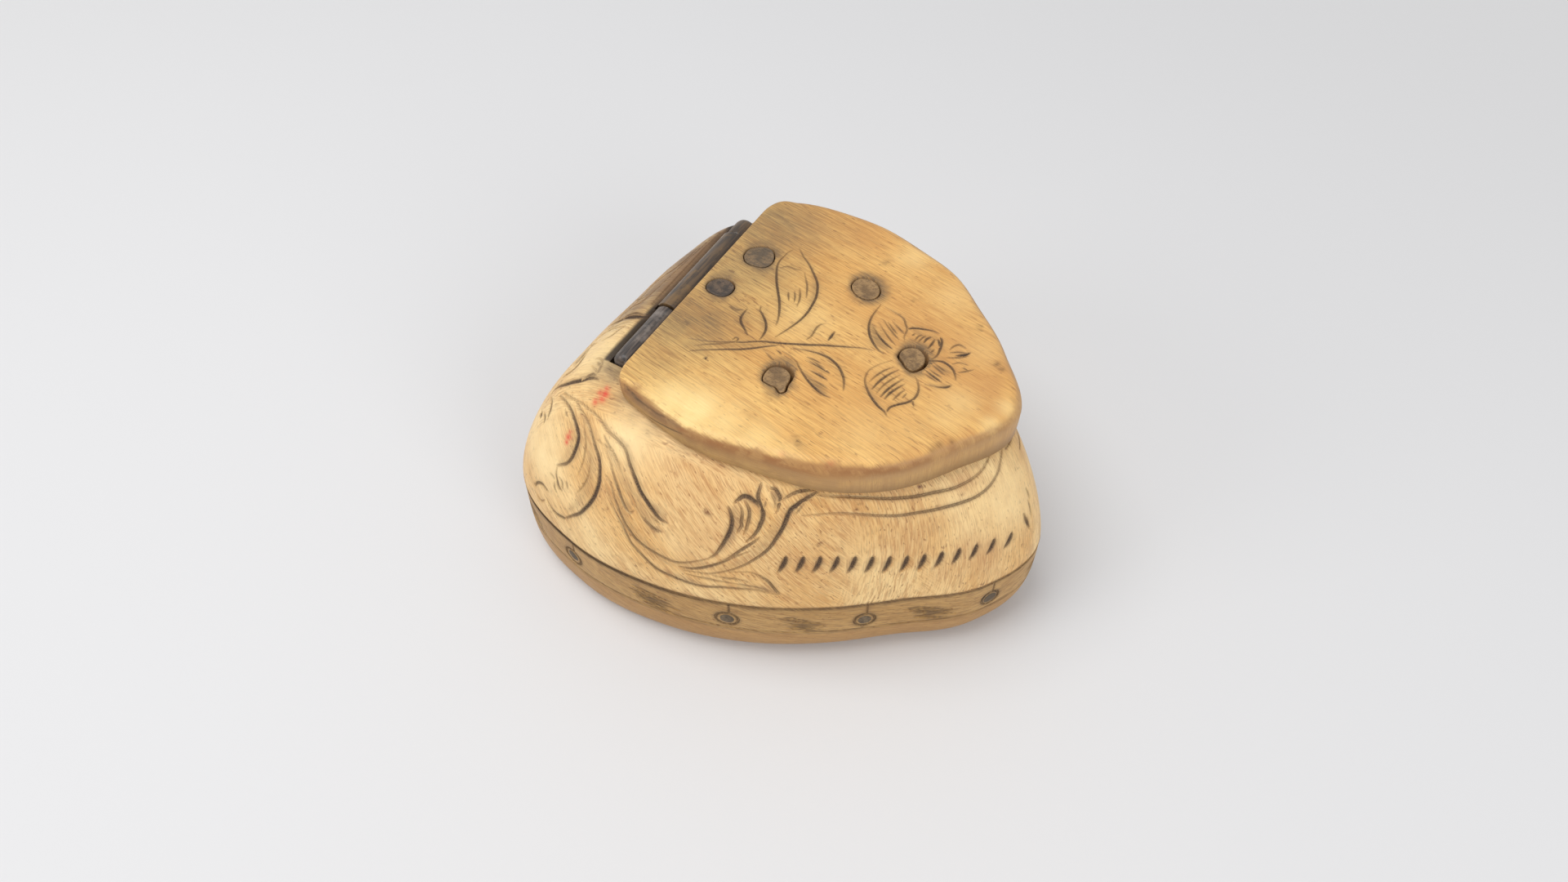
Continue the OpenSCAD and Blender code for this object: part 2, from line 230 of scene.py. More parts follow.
floor = placed("table", floor_mesh)

for lamp_name, (place, size, power) in LAMPS.items():
    lamp_data = bpy.data.lights.new(lamp_name, "AREA")
    lamp_data.shape = "DISK"
    lamp_data.size = size
    lamp_data.energy = power
    lamp = placed(lamp_name, lamp_data)
    lamp.location = place
    lamp.rotation_euler = (Vector(place) - CAMERA_TARGET).to_track_quat("Z", "Y").to_euler()


# ---- Body shell ----
# The domed upper part, carved from one piece of bone into a rounded triangle with a flat mouth.
# Its wall carries the engraved scrolls. A lip inside stands in the base and is pegged to it, and
# a groove behind the mouth holds the hinge.
PLAN_SHIFT = np.array((0.46157, 1.10062))
SEAM_FORM = (36, 30, 27.5, 29, 32, 34.5, 37, 38.5, 38, 36.5, 39, 44, 41, 36.5, 33, 31, 31, 34.5)
LID_FORM = (28.5, 25, 23, 23, 23.5, 25, 27, 28.5, 30.5, 31.5, 30.5, 28.5, 25.5, 24, 23, 24, 25, 26)
SEAM_SIZE = (75.1, 65.1)
LID_SIZE = (48.5, 49)
BASE_H = 13.5
RIM_BACK_Z = 34.5
HINGE_BACK = 18.5
LID_SLOPE = 3 / 48.5
LID_OVER = 1.5
RIM_W = 3.5
ROOF_T = 3.6
SHOULDER_W = 5.4
LEDGE_W = 2.5
LIP_IN = 4.9
LIP_T = 2.2
LIP_H = 6.5
SEAM_BEVEL = 0.3
HINGE_X = -20.6
HINGE_Z = 34.7
MOUTH_EDGE = ((-RIM_W / 2, 0), (-0.3, 0), (-0.05, 0.1), (0, 0.4))
SHELL_LIP = (
    (LIP_IN, BASE_H - LIP_H),
    (LIP_IN - LIP_T, BASE_H - LIP_H),
    (LIP_IN - LIP_T, BASE_H),
)
SHELL_FULLNESS = 1.4
FULLNESS_SWING = 0.14
SHELL_ROWS = 190
CAVITY_ROWS = 18
COLUMNS = 2160
TURN = np.arange(0, 360, 360 / COLUMNS)
HINGE_STEPS = ((-16.65, 1.95), (-5, 1.95), (-5, 2.4), (13.3, 2.4), (13.3, 1.95), (17.45, 1.95))


def smooth_between(a, b, c, d, f):
    """The place at f, from 0 to 1, between b and c on a smooth curve through four places."""
    bend = (2 * a - 5 * b + 4 * c - d) * f**2 / 2 + (3 * b - a - 3 * c + d) * f**3 / 2
    return b + (c - a) * f / 2 + bend


def radius_at(form, turn):
    """A carved outline's radius at each direction in degrees: a smooth closed curve through form."""
    form = np.asarray(form, float)
    u = np.mod(turn, 360) * len(form) / 360
    i = np.floor(u).astype(int)
    return smooth_between(*(form[(i + k) % len(form)] for k in (-1, 0, 1, 2)), u - i)


def form_xy(form, turn):
    """The points of a carved outline, round the plan's centre."""
    turn = np.asarray(turn, float)
    reach = radius_at(form, turn)
    return np.stack([reach * np.cos(np.radians(turn)), reach * np.sin(np.radians(turn))], axis=-1)


def form_span(form):
    """The outline's width along X and along Y, before it is brought to size."""
    return np.ptp(form_xy(form, np.arange(0, 360, 5)), axis=0)


def drawn_in(p, inset):
    """Points drawn in towards the centre by a length."""
    inset = np.asarray(inset)[..., None] if np.ndim(inset) else inset
    return p * (1 - inset / np.linalg.norm(p, axis=-1, keepdims=True))


def kept_in(p, back, soft=3.2):
    """Points kept in front of the line x = -back, with a softened corner."""
    reach = np.linalg.norm(p, axis=-1)
    facing = np.maximum(-p[..., 0] / reach, 0.0501)
    limit = back / facing
    h = np.clip(0.5 + (limit - reach) / soft / 2, 0, 1)
    least = limit * (1 - h) + reach * h - soft * h * (1 - h)
    return p * np.where(-p[..., 0] / reach > 0.05, least / reach, 1)[..., None]


def seam_xy(turn):
    return form_xy(SEAM_FORM, turn) * (np.array(SEAM_SIZE) / form_span(SEAM_FORM))


def lid_form_xy(turn):
    scale = ((LID_SIZE[0] - HINGE_BACK) / LID_FORM[0], LID_SIZE[1] / form_span(LID_FORM)[1])
    return form_xy(LID_FORM, turn) * scale


def neck_xy(turn):
    return kept_in(drawn_in(lid_form_xy(turn), LID_OVER), HINGE_BACK + SHOULDER_W)


def mouth_xy(turn, inset=0):
    return drawn_in(kept_in(drawn_in(lid_form_xy(turn), LID_OVER + RIM_W), HINGE_BACK - LEDGE_W), inset)


def rim_z(x):
    return RIM_BACK_Z - LID_SLOPE * (x + HINGE_BACK)


def bulge(t, fullness):
    """How far a bulging side has come in, and up, at t from 0 to 1."""
    t = np.clip(t, 0, 1) * math.pi / 2
    return np.abs(np.cos(t)) ** (2 / fullness), np.abs(np.sin(t)) ** (2 / fullness)


def shell_at(turn, t):
    """The shell's outer side: t runs from 0 at the seam to 1 at the rim."""
    seam, neck = seam_xy(turn), neck_xy(turn)
    along, up = bulge(t, SHELL_FULLNESS - FULLNESS_SWING * np.sin(np.radians(turn)))
    xy = neck + (seam - neck) * along[..., None]
    return np.dstack([xy, BASE_H + (rim_z(neck[..., 0]) - BASE_H) * up])


def cavity_at(turn, t):
    """The shell's inner side: t runs from 0 at the lip to 1 at the mouth."""
    foot, mouth = drawn_in(seam_xy(turn), LIP_IN), mouth_xy(turn)
    along, up = bulge(t, SHELL_FULLNESS)
    xy = mouth + (foot - mouth) * along[..., None]
    return np.dstack([xy, BASE_H + (rim_z(mouth[..., 0]) - ROOF_T - BASE_H) * up])


def even_rows(law, turn, rows):
    """Values of t that cut a curved side into rows of even height, one column for each direction."""
    fine = np.linspace(0, 1, 201)
    steps = np.linalg.norm(np.diff(law(turn, fine[:, None] * np.ones(len(turn))), axis=0), axis=2)
    runs = np.vstack([np.zeros(len(turn)), np.cumsum(steps, axis=0)])
    share = np.linspace(0, 1, rows)
    return np.stack([np.interp(share * run[-1], run, fine) for run in runs.T], axis=1)


def ring(xy, z):
    """One ring of points at a height, or at a height for each point."""
    return np.dstack([xy[None], np.broadcast_to(z, (1, len(xy)))])


def seam_rings(levels):
    """Rings drawn in from the seam's outline, from pairs of inset and height."""
    return [ring(drawn_in(seam_xy(TURN), inset), height) for inset, height in levels]


def new_piece(name, points, faces):
    """A piece from points in the plan's millimetres: its object is at the origin, its place in its mesh."""
    points = np.array(points, float)
    points[:, :2] += PLAN_SHIFT
    mesh = bpy.data.meshes.new(name)
    mesh.from_pydata((points * MM).tolist(), [], faces)
    mesh.polygons.foreach_set("use_smooth", [True] * len(mesh.polygons))
    return placed(name, mesh)


def wall_faces(rings, columns, closed=False):
    """Four-sided faces between rings of equal count, looking out when the rings go up the outside."""
    i, j = np.meshgrid(np.arange(rings if closed else rings - 1), np.arange(columns), indexing="ij")
    i, k, j, n = i.ravel(), (i.ravel() + 1) % rings, j.ravel(), (j.ravel() + 1) % columns
    return np.stack([i * columns + j, i * columns + n, k * columns + n, k * columns + j], axis=1).tolist()


def end_faces(rings, columns):
    """The two faces that close a stack of rings, one at each end."""
    last = (rings - 1) * columns
    return [list(range(columns))[::-1], list(range(last, last + columns))]


def cut_away(piece, cutter):
    """Cuts one solid out of another, for good."""
    cut = piece.modifiers.new("cut", "BOOLEAN")
    cut.operation = "DIFFERENCE"
    cut.solver = "MANIFOLD"
    cut.object = cutter
    make_plain(piece)
    bpy.data.objects.remove(cutter)


def make_plain(piece):
    """The piece's mesh as its modifiers leave it, without the modifiers."""
    ready = bpy.context.evaluated_depsgraph_get()
    mesh = bpy.data.meshes.new_from_object(piece.evaluated_get(ready), depsgraph=ready)
    piece.modifiers.clear()
    piece.data = mesh
    mesh.name = piece.name


def lathe_along_hinge(name, steps, sides=96):
    """A round solid about the hinge's axis, from pairs of place along it and radius."""
    around = np.radians(np.arange(0, 360, 360 / sides))
    rings = [
        np.stack(
            [
                HINGE_X + radius * np.sin(around),
                np.full(sides, y),
                HINGE_Z + radius * np.cos(around),
            ],
            axis=1,
        )
        for y, radius in steps
    ]
    faces = wall_faces(len(rings), sides) + end_faces(len(rings), sides)
    return new_piece(name, np.concatenate(rings), faces)


mouth_edge = [
    ring(mouth_xy(TURN, inset), rim_z(mouth_xy(TURN, inset)[:, 0]) - drop)
    for inset, drop in MOUTH_EDGE
]
shell_rings = np.concatenate(
    [
        *seam_rings([(SEAM_BEVEL, BASE_H)]),
        shell_at(TURN, even_rows(shell_at, TURN, SHELL_ROWS)),
        *mouth_edge,
        cavity_at(TURN, even_rows(cavity_at, TURN, CAVITY_ROWS)[::-1]),
        *seam_rings(SHELL_LIP),
    ]
)
shell_rings[1, :, 2] = BASE_H + SEAM_BEVEL
shell_rings[2, :, 2] = np.maximum(shell_rings[2, :, 2], BASE_H + SEAM_BEVEL + 0.05)
shell = new_piece(
    "engraved_shell",
    shell_rings.reshape(-1, 3),
    wall_faces(len(shell_rings), COLUMNS, closed=True),
)
cut_away(shell, lathe_along_hinge("hinge_groove", HINGE_STEPS))

# The cuts on the shell, as they are seen in the photograph: half a width in millimetres, how dark,
# where along the cut it is widest, or None for one width, and the pixels that it passes through.
SHELL_DEPTH = 0.22
SHELL_SCOOP = 0.35
SHELL_TRIANGLES = 195000
FINE, PLAIN, BROAD = 0.17, 0.25, 0.37
SHELL_CUTS = {
    "first_curl": (BROAD, 1, 0.6, [
        (686, 485), (692, 491), (699, 502), (704, 516), (707, 527), (708, 535), (706, 545),
        (700, 560), (694, 567), (687, 569), (682, 570),
    ]),
    "curl_back": (PLAIN, 1, 0.7, [(682, 572), (681, 580), (682, 588), (684, 596), (688, 601)]),
    "curl_loop": (FINE, 0.6, 0.5, [(684, 584), (688, 590), (689, 599)]),
    "curl_tick": (FINE, 0.7, 0.5, [(679, 590), (679, 598), (682, 604)]),
    "curl_tick_right": (FINE, 0.5, 0.5, [(693, 588), (694, 593), (695, 599)]),
    "curl_whisker": (FINE, 0.35, 0.5, [(673, 579), (676, 582), (680, 587)]),
    "eye_top": (PLAIN, 0.9, 0.3, [(656, 597), (656, 593), (659, 591), (664, 593), (668, 598), (672, 603)]),
    "eye_foot": (FINE, 0.9, 0.5, [(658, 605), (660, 610), (664, 613.5), (667, 612)]),
    "second_curl": (BROAD, 1, 0.75, [
        (691, 481), (698, 486), (706, 492), (711, 502), (717, 511), (722, 523), (726, 537),
        (729, 548), (732, 557), (734, 567), (734, 578), (733.5, 589), (731, 599), (727, 609),
        (721.5, 617), (716, 623), (709, 629), (700, 632), (692, 635),
    ]),
    "second_curl_end": (PLAIN, 1, 0.2, [
        (692, 635), (687.5, 633), (681, 629), (676, 623), (672, 617), (670, 611),
    ]),
    "third_curl": (BROAD, 1, 0.8, [
        (703, 489), (711, 493), (720, 500), (729, 507), (737, 517), (743, 527), (751, 534),
        (760, 543), (765, 550), (768, 558), (770, 566), (774, 577), (779, 590), (784, 602),
        (790, 612), (799, 625), (807, 635), (817, 641),
    ]),
    "strand_a": (FINE, 0.5, 0.5, [(692, 502), (693, 506), (695, 510)]),
    "strand_b": (FINE, 0.8, 0.4, [
        (714, 519), (716, 533), (717, 545), (716, 554), (714.5, 563), (712, 571), (709, 578),
        (707.5, 583),
    ]),
    "strand_c": (FINE, 0.8, 0.7, [
        (723, 556), (722, 568), (720.5, 580), (717.5, 589), (712, 598), (706, 604),
    ]),
    "strand_d": (PLAIN, 0.95, 0.7, [
        (740.5, 549), (743, 556), (747, 566), (750, 577), (753.5, 589), (758, 602), (761, 611),
        (764.5, 619), (768, 625), (772, 628), (776, 625.5),
    ]),
    "strand_e": (FINE, 0.8, 0.6, [
        (729, 537), (735, 542), (742, 547), (749, 551), (753, 559), (757, 568), (759.5, 579),
    ]),
    "strand_f": (FINE, 0.4, 0.5, [(739, 532), (743, 541), (747, 547), (752, 553)]),
    "strand_g": (PLAIN, 0.9, 0.8, [
        (772, 604), (776, 613), (779, 622), (784, 630), (790, 638), (797, 645), (804, 650),
        (811, 652),
    ]),
    "strand_h": (FINE, 0.8, 0.8, [(785, 612), (791, 624), (797, 632), (803, 638), (809, 643)]),
    "inner_sweep": (PLAIN, 0.95, 0.5, [
        (741, 582), (745, 587), (749, 597), (751.5, 607), (755, 617), (760, 630), (765, 641),
        (771, 650), (777.5, 659), (785, 666), (794, 672.5), (805, 679), (819, 686), (829, 689),
        (840, 689.5), (851.5, 688), (861.5, 686), (869, 684),
    ]),
    "inner_sweep_up": (0.36, 1, 0.6, [
        (867, 685), (876, 679), (883, 670), (889, 660), (894, 650), (896, 640), (895, 630),
        (892, 621),
    ]),
    "outer_sweep": (PLAIN, 1, 0.5, [
        (741, 594), (744, 603), (748, 614), (752.5, 625), (757.5, 635), (763, 645), (768, 656),
        (772, 664), (777.5, 671), (785, 679), (796, 690), (806, 698), (816, 703), (828.5, 708.5),
        (840, 713), (854, 717), (868.5, 719), (883, 719.5), (897, 720.7), (911.5, 721.7),
        (926, 723), (940, 726.5), (954, 729.3),
    ]),
    "leaf_top": (PLAIN, 1, 0.8, [
        (894, 701), (908.5, 701), (920, 702), (931.5, 706.5), (940, 712), (947, 720), (955, 729.5),
    ]),
    "leaf_mid": (FINE, 0.8, 0.5, [
        (838, 702), (850, 706), (866, 709), (877, 711.5), (890, 713.5), (900, 715),
    ]),
    "leaf_rib": (FINE, 0.8, 0.5, [(872, 705), (890, 708.5), (904, 710), (917, 713.5)]),
    "leaf_shade": (FINE, 0.6, 0.5, [(897, 714.5), (912, 717), (928, 720), (944, 725)]),
    "stem_rise": (BROAD, 1, 0.8, [
        (838, 699), (851.5, 701), (866, 703), (877, 702), (891.5, 699.3), (903, 695.7), (914, 691),
        (926, 684), (936, 677), (944, 669), (950, 660), (956, 651), (960, 643), (964, 633),
        (968, 625), (974, 620), (982.5, 614), (990, 609), (996, 605), (1002, 602),
    ]),
    "stem_rise_low": (FINE, 0.6, 0.5, [(974, 631), (979, 624), (985, 616)]),
    "sweep_low": (PLAIN, 0.9, 0.4, [
        (831, 694), (843, 696.3), (854, 696.3), (866, 694.3), (877, 691.4), (888.5, 687),
        (897, 683), (908.5, 679), (918.5, 675.7),
    ]),
    "sweep_mid": (PLAIN, 0.9, 0.6, [
        (878, 689.5), (890, 685), (900, 679), (909, 673), (917.5, 667.5), (924, 663.5),
        (930.5, 658),
    ]),
    "plume_right": (0.34, 1, 0.45, [
        (932.5, 592), (930, 599), (928, 607.5), (930, 617.5), (933.8, 626), (934, 634),
        (931, 642.5), (927.5, 650), (922, 657), (914, 664),
    ]),
    "plume_top": (BROAD, 1, 0.5, [
        (899.5, 616), (904, 612), (910, 608), (916, 608.8), (921, 612), (927, 616.5),
        (930.5, 622.5),
    ]),
    "plume_a": (PLAIN, 1, 0.6, [
        (903, 615), (907.5, 622.5), (908.8, 630), (907.5, 638.8), (908, 644), (905, 649),
        (902.5, 654),
    ]),
    "plume_b": (PLAIN, 1, 0.5, [
        (912, 613), (916, 621), (917.5, 630), (916, 639), (914, 647.5), (911, 655),
    ]),
    "drop_right": (0.3, 1, 0.4, [
        (943, 598), (949, 599), (952.5, 604), (955, 610), (954, 617.5), (951, 628),
    ]),
    "drop_left": (FINE, 0.7, 0.5, [(943, 602), (946, 608), (949, 615), (950, 624)]),
    "drop_tick": (FINE, 0.5, 0.5, [(937.5, 614), (937, 618), (936, 622)]),
    "border_root": (PLAIN, 0.9, 0.6, [
        (954, 616), (962, 610), (970, 605), (978, 602), (987, 600.5), (998, 600),
    ]),
    "border_high": (PLAIN, 1, 0.5, [
        (1000, 605.5), (1015, 607.7), (1040, 608.8), (1065, 610), (1085, 610.8), (1105, 610),
        (1125, 607.5), (1145, 603), (1165, 598.8), (1180, 592.5), (1192.5, 585), (1201, 577.5),
        (1206, 570), (1210, 561), (1212, 551),
    ]),
    "border_low": (PLAIN, 1, 0.6, [
        (982, 632), (1000, 630.8), (1025, 629), (1050, 630), (1075, 631.8), (1100, 631.8),
        (1120, 628.8), (1140, 625.5), (1160, 620.8), (1180, 615), (1195, 608.8), (1207.5, 600),
        (1216, 590), (1222.5, 577.5), (1225, 565), (1226.5, 552), (1225, 541),
    ]),
    "tip_leaf": (0.3, 1, 0.6, [(1253.5, 629), (1257, 637), (1261, 647)]),
    "tip_leaf_edge": (FINE, 0.8, 0.5, [(1258.5, 611), (1261.5, 622), (1263, 635)]),
    "tip_leaf_high": (FINE, 0.8, 0.5, [(1256, 597), (1259, 604), (1261, 612)]),
    "shoulder_leaf_low": (PLAIN, 1, 0.5, [
        (689, 462), (697, 456.5), (706, 448.5), (712, 441), (720, 429), (726, 423), (731, 420),
    ]),
    "shoulder_leaf_high": (FINE, 1, 0.5, [(697, 450), (706, 440), (714, 430.5), (722, 423.5), (730, 420)]),
    "shoulder_vein": (PLAIN, 0.9, 0.5, [(702, 449), (710, 440), (718, 430), (725, 423)]),
    "shoulder_line_a": (FINE, 0.8, 0.5, [
        (722, 423), (733, 413.6), (743, 406.4), (754.5, 399.3), (764, 395), (770, 394),
    ]),
    "shoulder_line_b": (FINE, 0.8, 0.5, [(737, 417), (748.5, 411), (757, 404.3), (765.5, 399.3)]),
    "far_leaf_low": (0.3, 1, 0.6, [
        (746, 399), (751.5, 395.7), (760, 391.4), (768.5, 388.8), (777, 388.8), (791, 389),
    ]),
    "far_leaf_high": (PLAIN, 1, 0.5, [(763, 390), (768.5, 386), (777, 383), (786, 384.5), (793, 388)]),
    "far_line_low": (PLAIN, 0.9, 0.5, [
        (770, 373), (773, 368), (780, 364), (791, 354.5), (803, 346), (814, 337), (826, 328.5),
        (840, 317), (850, 307.5), (862, 297),
    ]),
    "far_line_high": (FINE, 0.9, 0.5, [
        (777, 363), (791.5, 350), (806, 338.5), (817, 327), (826, 320), (835.5, 312), (846, 304),
    ]),
    "far_mark": (PLAIN, 0.6, 0.5, [(774, 369), (781, 367), (788, 364.5)]),
    "back_grain_a": (0.2, 1.1, None, [
        (799, 372), (814, 355), (830, 338), (846, 321), (862, 304), (882, 285),
    ]),
    "back_grain_b": (FINE, 1, None, [
        (772, 377), (786, 369), (800, 357), (815, 343), (830, 329), (848, 312), (868, 294),
    ]),
    "back_grain_c": (0.13, 1, None, [
        (766, 383), (778, 372), (792, 357), (806, 342), (822, 326), (840, 309),
    ]),
    "back_grain_d": (0.1, 0.8, None, [(758, 391), (770, 376), (784, 361), (800, 344), (816, 328)]),
    "back_line_a": (0.12, 1, None, [(720, 425), (736, 411), (750, 403), (764, 399)]),
    "back_line_b": (0.12, 1, None, [(713, 438), (724, 424), (738, 409), (750, 400)]),
    "back_joint": (0.5, 1.3, 0.6, [(750, 397), (758, 393), (768, 388.5), (780, 387), (796, 388)]),
    "squiggle": (FINE, 0.9, 0.5, [
        (724.5, 448), (729, 452), (732, 455.5), (734, 452), (737, 445), (736.5, 440), (732, 438.5),
        (729, 440),
    ]),
    "squiggle_heart": (FINE, 0.7, 0.5, [(731, 443), (734, 446), (736.5, 444)]),
    "brow": (BROAD, 1, 0.6, [
        (675.5, 482), (679, 477), (684.5, 473), (691, 471), (700, 468), (711, 465.6), (720, 463),
        (727, 462.8), (732.5, 464.5),
    ]),
    "brow_top": (PLAIN, 0.8, 0.6, [(712, 465), (718, 461.5), (723, 458.7), (727, 458), (730, 461)]),
    "edge_leaf": (PLAIN, 0.9, 0.5, [(674, 486), (675.6, 490), (674.5, 499), (672, 507), (670.5, 513)]),
    "edge_mark": (BROAD, 1, 0.4, [(663, 504), (662.5, 508), (661.5, 512)]),
    "edge_mark_right": (PLAIN, 0.9, 0.5, [(666, 505), (667, 511), (666, 518)]),
}
# Broad smears beside the cuts, given in the same way: dirt and wear, and in the inside smears painted shade
# where the carving is scooped.
SHELL_SMEARS = {
    "curl_smear": (0.8, 0.5, 0.5, [(711, 527), (711, 536), (708, 548), (703, 560), (696, 568)]),
    "second_smear": (0.7, 0.45, 0.5, [(706, 496), (716, 514), (724, 532), (730, 550), (736, 562)]),
    "third_smear": (0.7, 0.5, 0.5, [
        (738, 515), (748, 530), (764, 545), (772, 562), (778, 582), (788, 600),
    ]),
    "third_end_smear": (1.1, 0.6, 0.7, [(793, 612), (801, 621), (808, 629), (814, 637)]),
    "strand_smear": (1.1, 0.75, 0.6, [(788, 634), (795, 641), (802, 647), (808, 650)]),
    "loop_smear": (0.9, 0.5, 0.6, [(766, 612), (769, 619), (772, 624)]),
    "sweep_smear": (0.9, 0.55, 0.5, [
        (898, 622), (900, 632), (899, 645), (894, 658), (886, 669), (876, 680),
    ]),
    "sweep_low_smear": (0.9, 0.4, 0.5, [(820, 687), (836, 692), (850, 692), (866, 690)]),
    "outer_smear": (0.8, 0.45, 0.5, [(812, 698), (828, 706), (846, 712), (866, 717)]),
    "leaf_smear": (0.9, 0.5, 0.7, [(905, 718), (920, 720), (935, 722), (948, 726)]),
    "plume_smear": (1.0, 0.6, 0.4, [(905, 612), (912, 609), (920, 613), (926, 618)]),
    "plume_side_smear": (0.7, 0.55, 0.5, [(928, 604), (930, 616), (934, 628), (933, 640), (928, 651)]),
    "drop_smear": (0.9, 0.6, 0.5, [(946, 602), (951, 608), (952, 615)]),
    "stem_smear": (0.8, 0.5, 0.7, [(964, 640), (968, 630), (974, 622), (984, 612), (998, 603)]),
    "tip_smear": (0.7, 0.6, 0.5, [(1254, 632), (1258, 641)]),
    "shoulder_smear": (0.8, 0.7, 0.5, [(703, 446), (711, 437), (720, 426)]),
    "far_smear": (0.9, 0.8, 0.5, [(766, 388), (778, 386), (792, 387)]),
    "back_smear": (2.2, 1, 0.5, [(800, 372), (826, 342), (852, 314), (886, 281)]),
    "back_smear_out": (1.6, 0.75, 0.5, [(778, 378), (802, 353), (830, 326), (862, 296)]),
    "curl_inside_smear": (1.3, 0.35, 0.6, [(700, 500), (704, 530), (698, 556), (686, 566)]),
    "second_inside_smear": (1.4, 0.4, 0.6, [(714, 520), (722, 552), (722, 584), (712, 612), (696, 626)]),
    "third_inside_smear": (1.5, 0.45, 0.7, [(742, 545), (756, 570), (768, 596), (784, 622), (800, 644)]),
    "sweep_inside_smear": (1.2, 0.4, 0.5, [(756, 612), (768, 640), (786, 664), (812, 684), (846, 694)]),
    "rise_inside_smear": (1.3, 0.4, 0.6, [(882, 698), (912, 686), (936, 668), (952, 646), (966, 624)]),
    "plume_inside_smear": (1.4, 0.5, 0.5, [(900, 622), (902, 636), (904, 652)]),
    "brow_smear": (0.7, 0.5, 0.6, [(700, 467), (716, 461), (728, 460)]),
}


def photo_curve(pixels, step=1.1):
    """A smooth curve through pixels of the photograph, as evenly spaced pixels."""
    p = np.array(pixels, float)
    p = np.vstack([2 * p[0] - p[1], p, 2 * p[-1] - p[-2]])
    run = []
    for a, b, c, d in zip(p[:-3], p[1:-2], p[2:-1], p[3:]):
        f = np.linspace(0, 1, max(2, int(np.linalg.norm(c - b) / step)), endpoint=False)[:, None]
        run.append(smooth_between(a, b, c, d, f))
    return np.vstack(run + [p[-2:-1]])


def mark_mesh(name, marks):
    """Marks on the bone as a mesh of edges, from the points, half width, tone and widest place of each."""
    points, edges, reach, tone = [], [], [], []
    for line, half_width, darkness, widest in marks:
        if len(line) < 2:
            continue
        swell = np.ones(len(line))
        if widest:
            share = np.linspace(0, 1, len(line)) ** (math.log(0.5) / math.log(widest))
            swell = 0.35 + 0.65 * np.sin(math.pi * share) ** 0.7
        first = len(points)
        points += [tuple(p) for p in line]
        edges += [(first + k, first + k + 1) for k in range(len(line) - 1)]
        reach += list(half_width * MM * swell)
        tone += list(darkness * (0.6 + 0.4 * swell))
    mesh = bpy.data.meshes.new(name)
    mesh.from_pydata(points, edges, [])
    mesh.attributes.new("reach", "FLOAT", "POINT").data.foreach_set("value", reach)
    mesh.attributes.new("tone", "FLOAT", "POINT").data.foreach_set("value", tone)
    return placed(name, mesh)


def marks_on(piece, cuts):
    """Marks seen in the photograph, laid on a piece along the lines of sight."""
    ready = bpy.context.evaluated_depsgraph_get()
    skin = BVHTree.FromObject(piece, ready)
    marks = []
    for half_width, darkness, widest, pixels in cuts:
        hits = [skin.ray_cast(camera.location, sight(*p))[0] for p in photo_curve(pixels)]
        marks.append(([h for h in hits if h is not None], half_width, darkness, widest))
    return marks


def new_tree(name, inputs):
    """A Geometry Nodes tree with named inputs, as the tree and a wire from each input."""
    tree = bpy.data.node_groups.new(name, "GeometryNodeTree")
    tree.interface.new_socket("Geometry", in_out="INPUT", socket_type="NodeSocketGeometry")
    for label, kind in inputs.items():
        tree.interface.new_socket(label, in_out="INPUT", socket_type=kind)
    tree.interface.new_socket("Geometry", in_out="OUTPUT", socket_type="NodeSocketGeometry")
    entry = tree.nodes.new("NodeGroupInput")
    return tree, {s.name: Wire(tree, s) for s in entry.outputs if s.name}


def grow(piece, tree, values):
    """Runs a tree on a piece with its inputs set by name, and keeps the result as a plain mesh."""
    nodes = piece.modifiers.new(tree.name, "NODES")
    nodes.node_group = tree
    for item in tree.interface.items_tree:
        if item.in_out == "INPUT" and item.name in values:
            nodes[item.identifier] = values[item.name]
    make_plain(piece)


GROOVE_REACH = 0.8
INK_EDGE = (0.45, 1.3)
BESIDE_EDGE = (0.8, 3)
BESIDE_TONE = 0.32
SMEAR_EDGE = (0, 1.3)


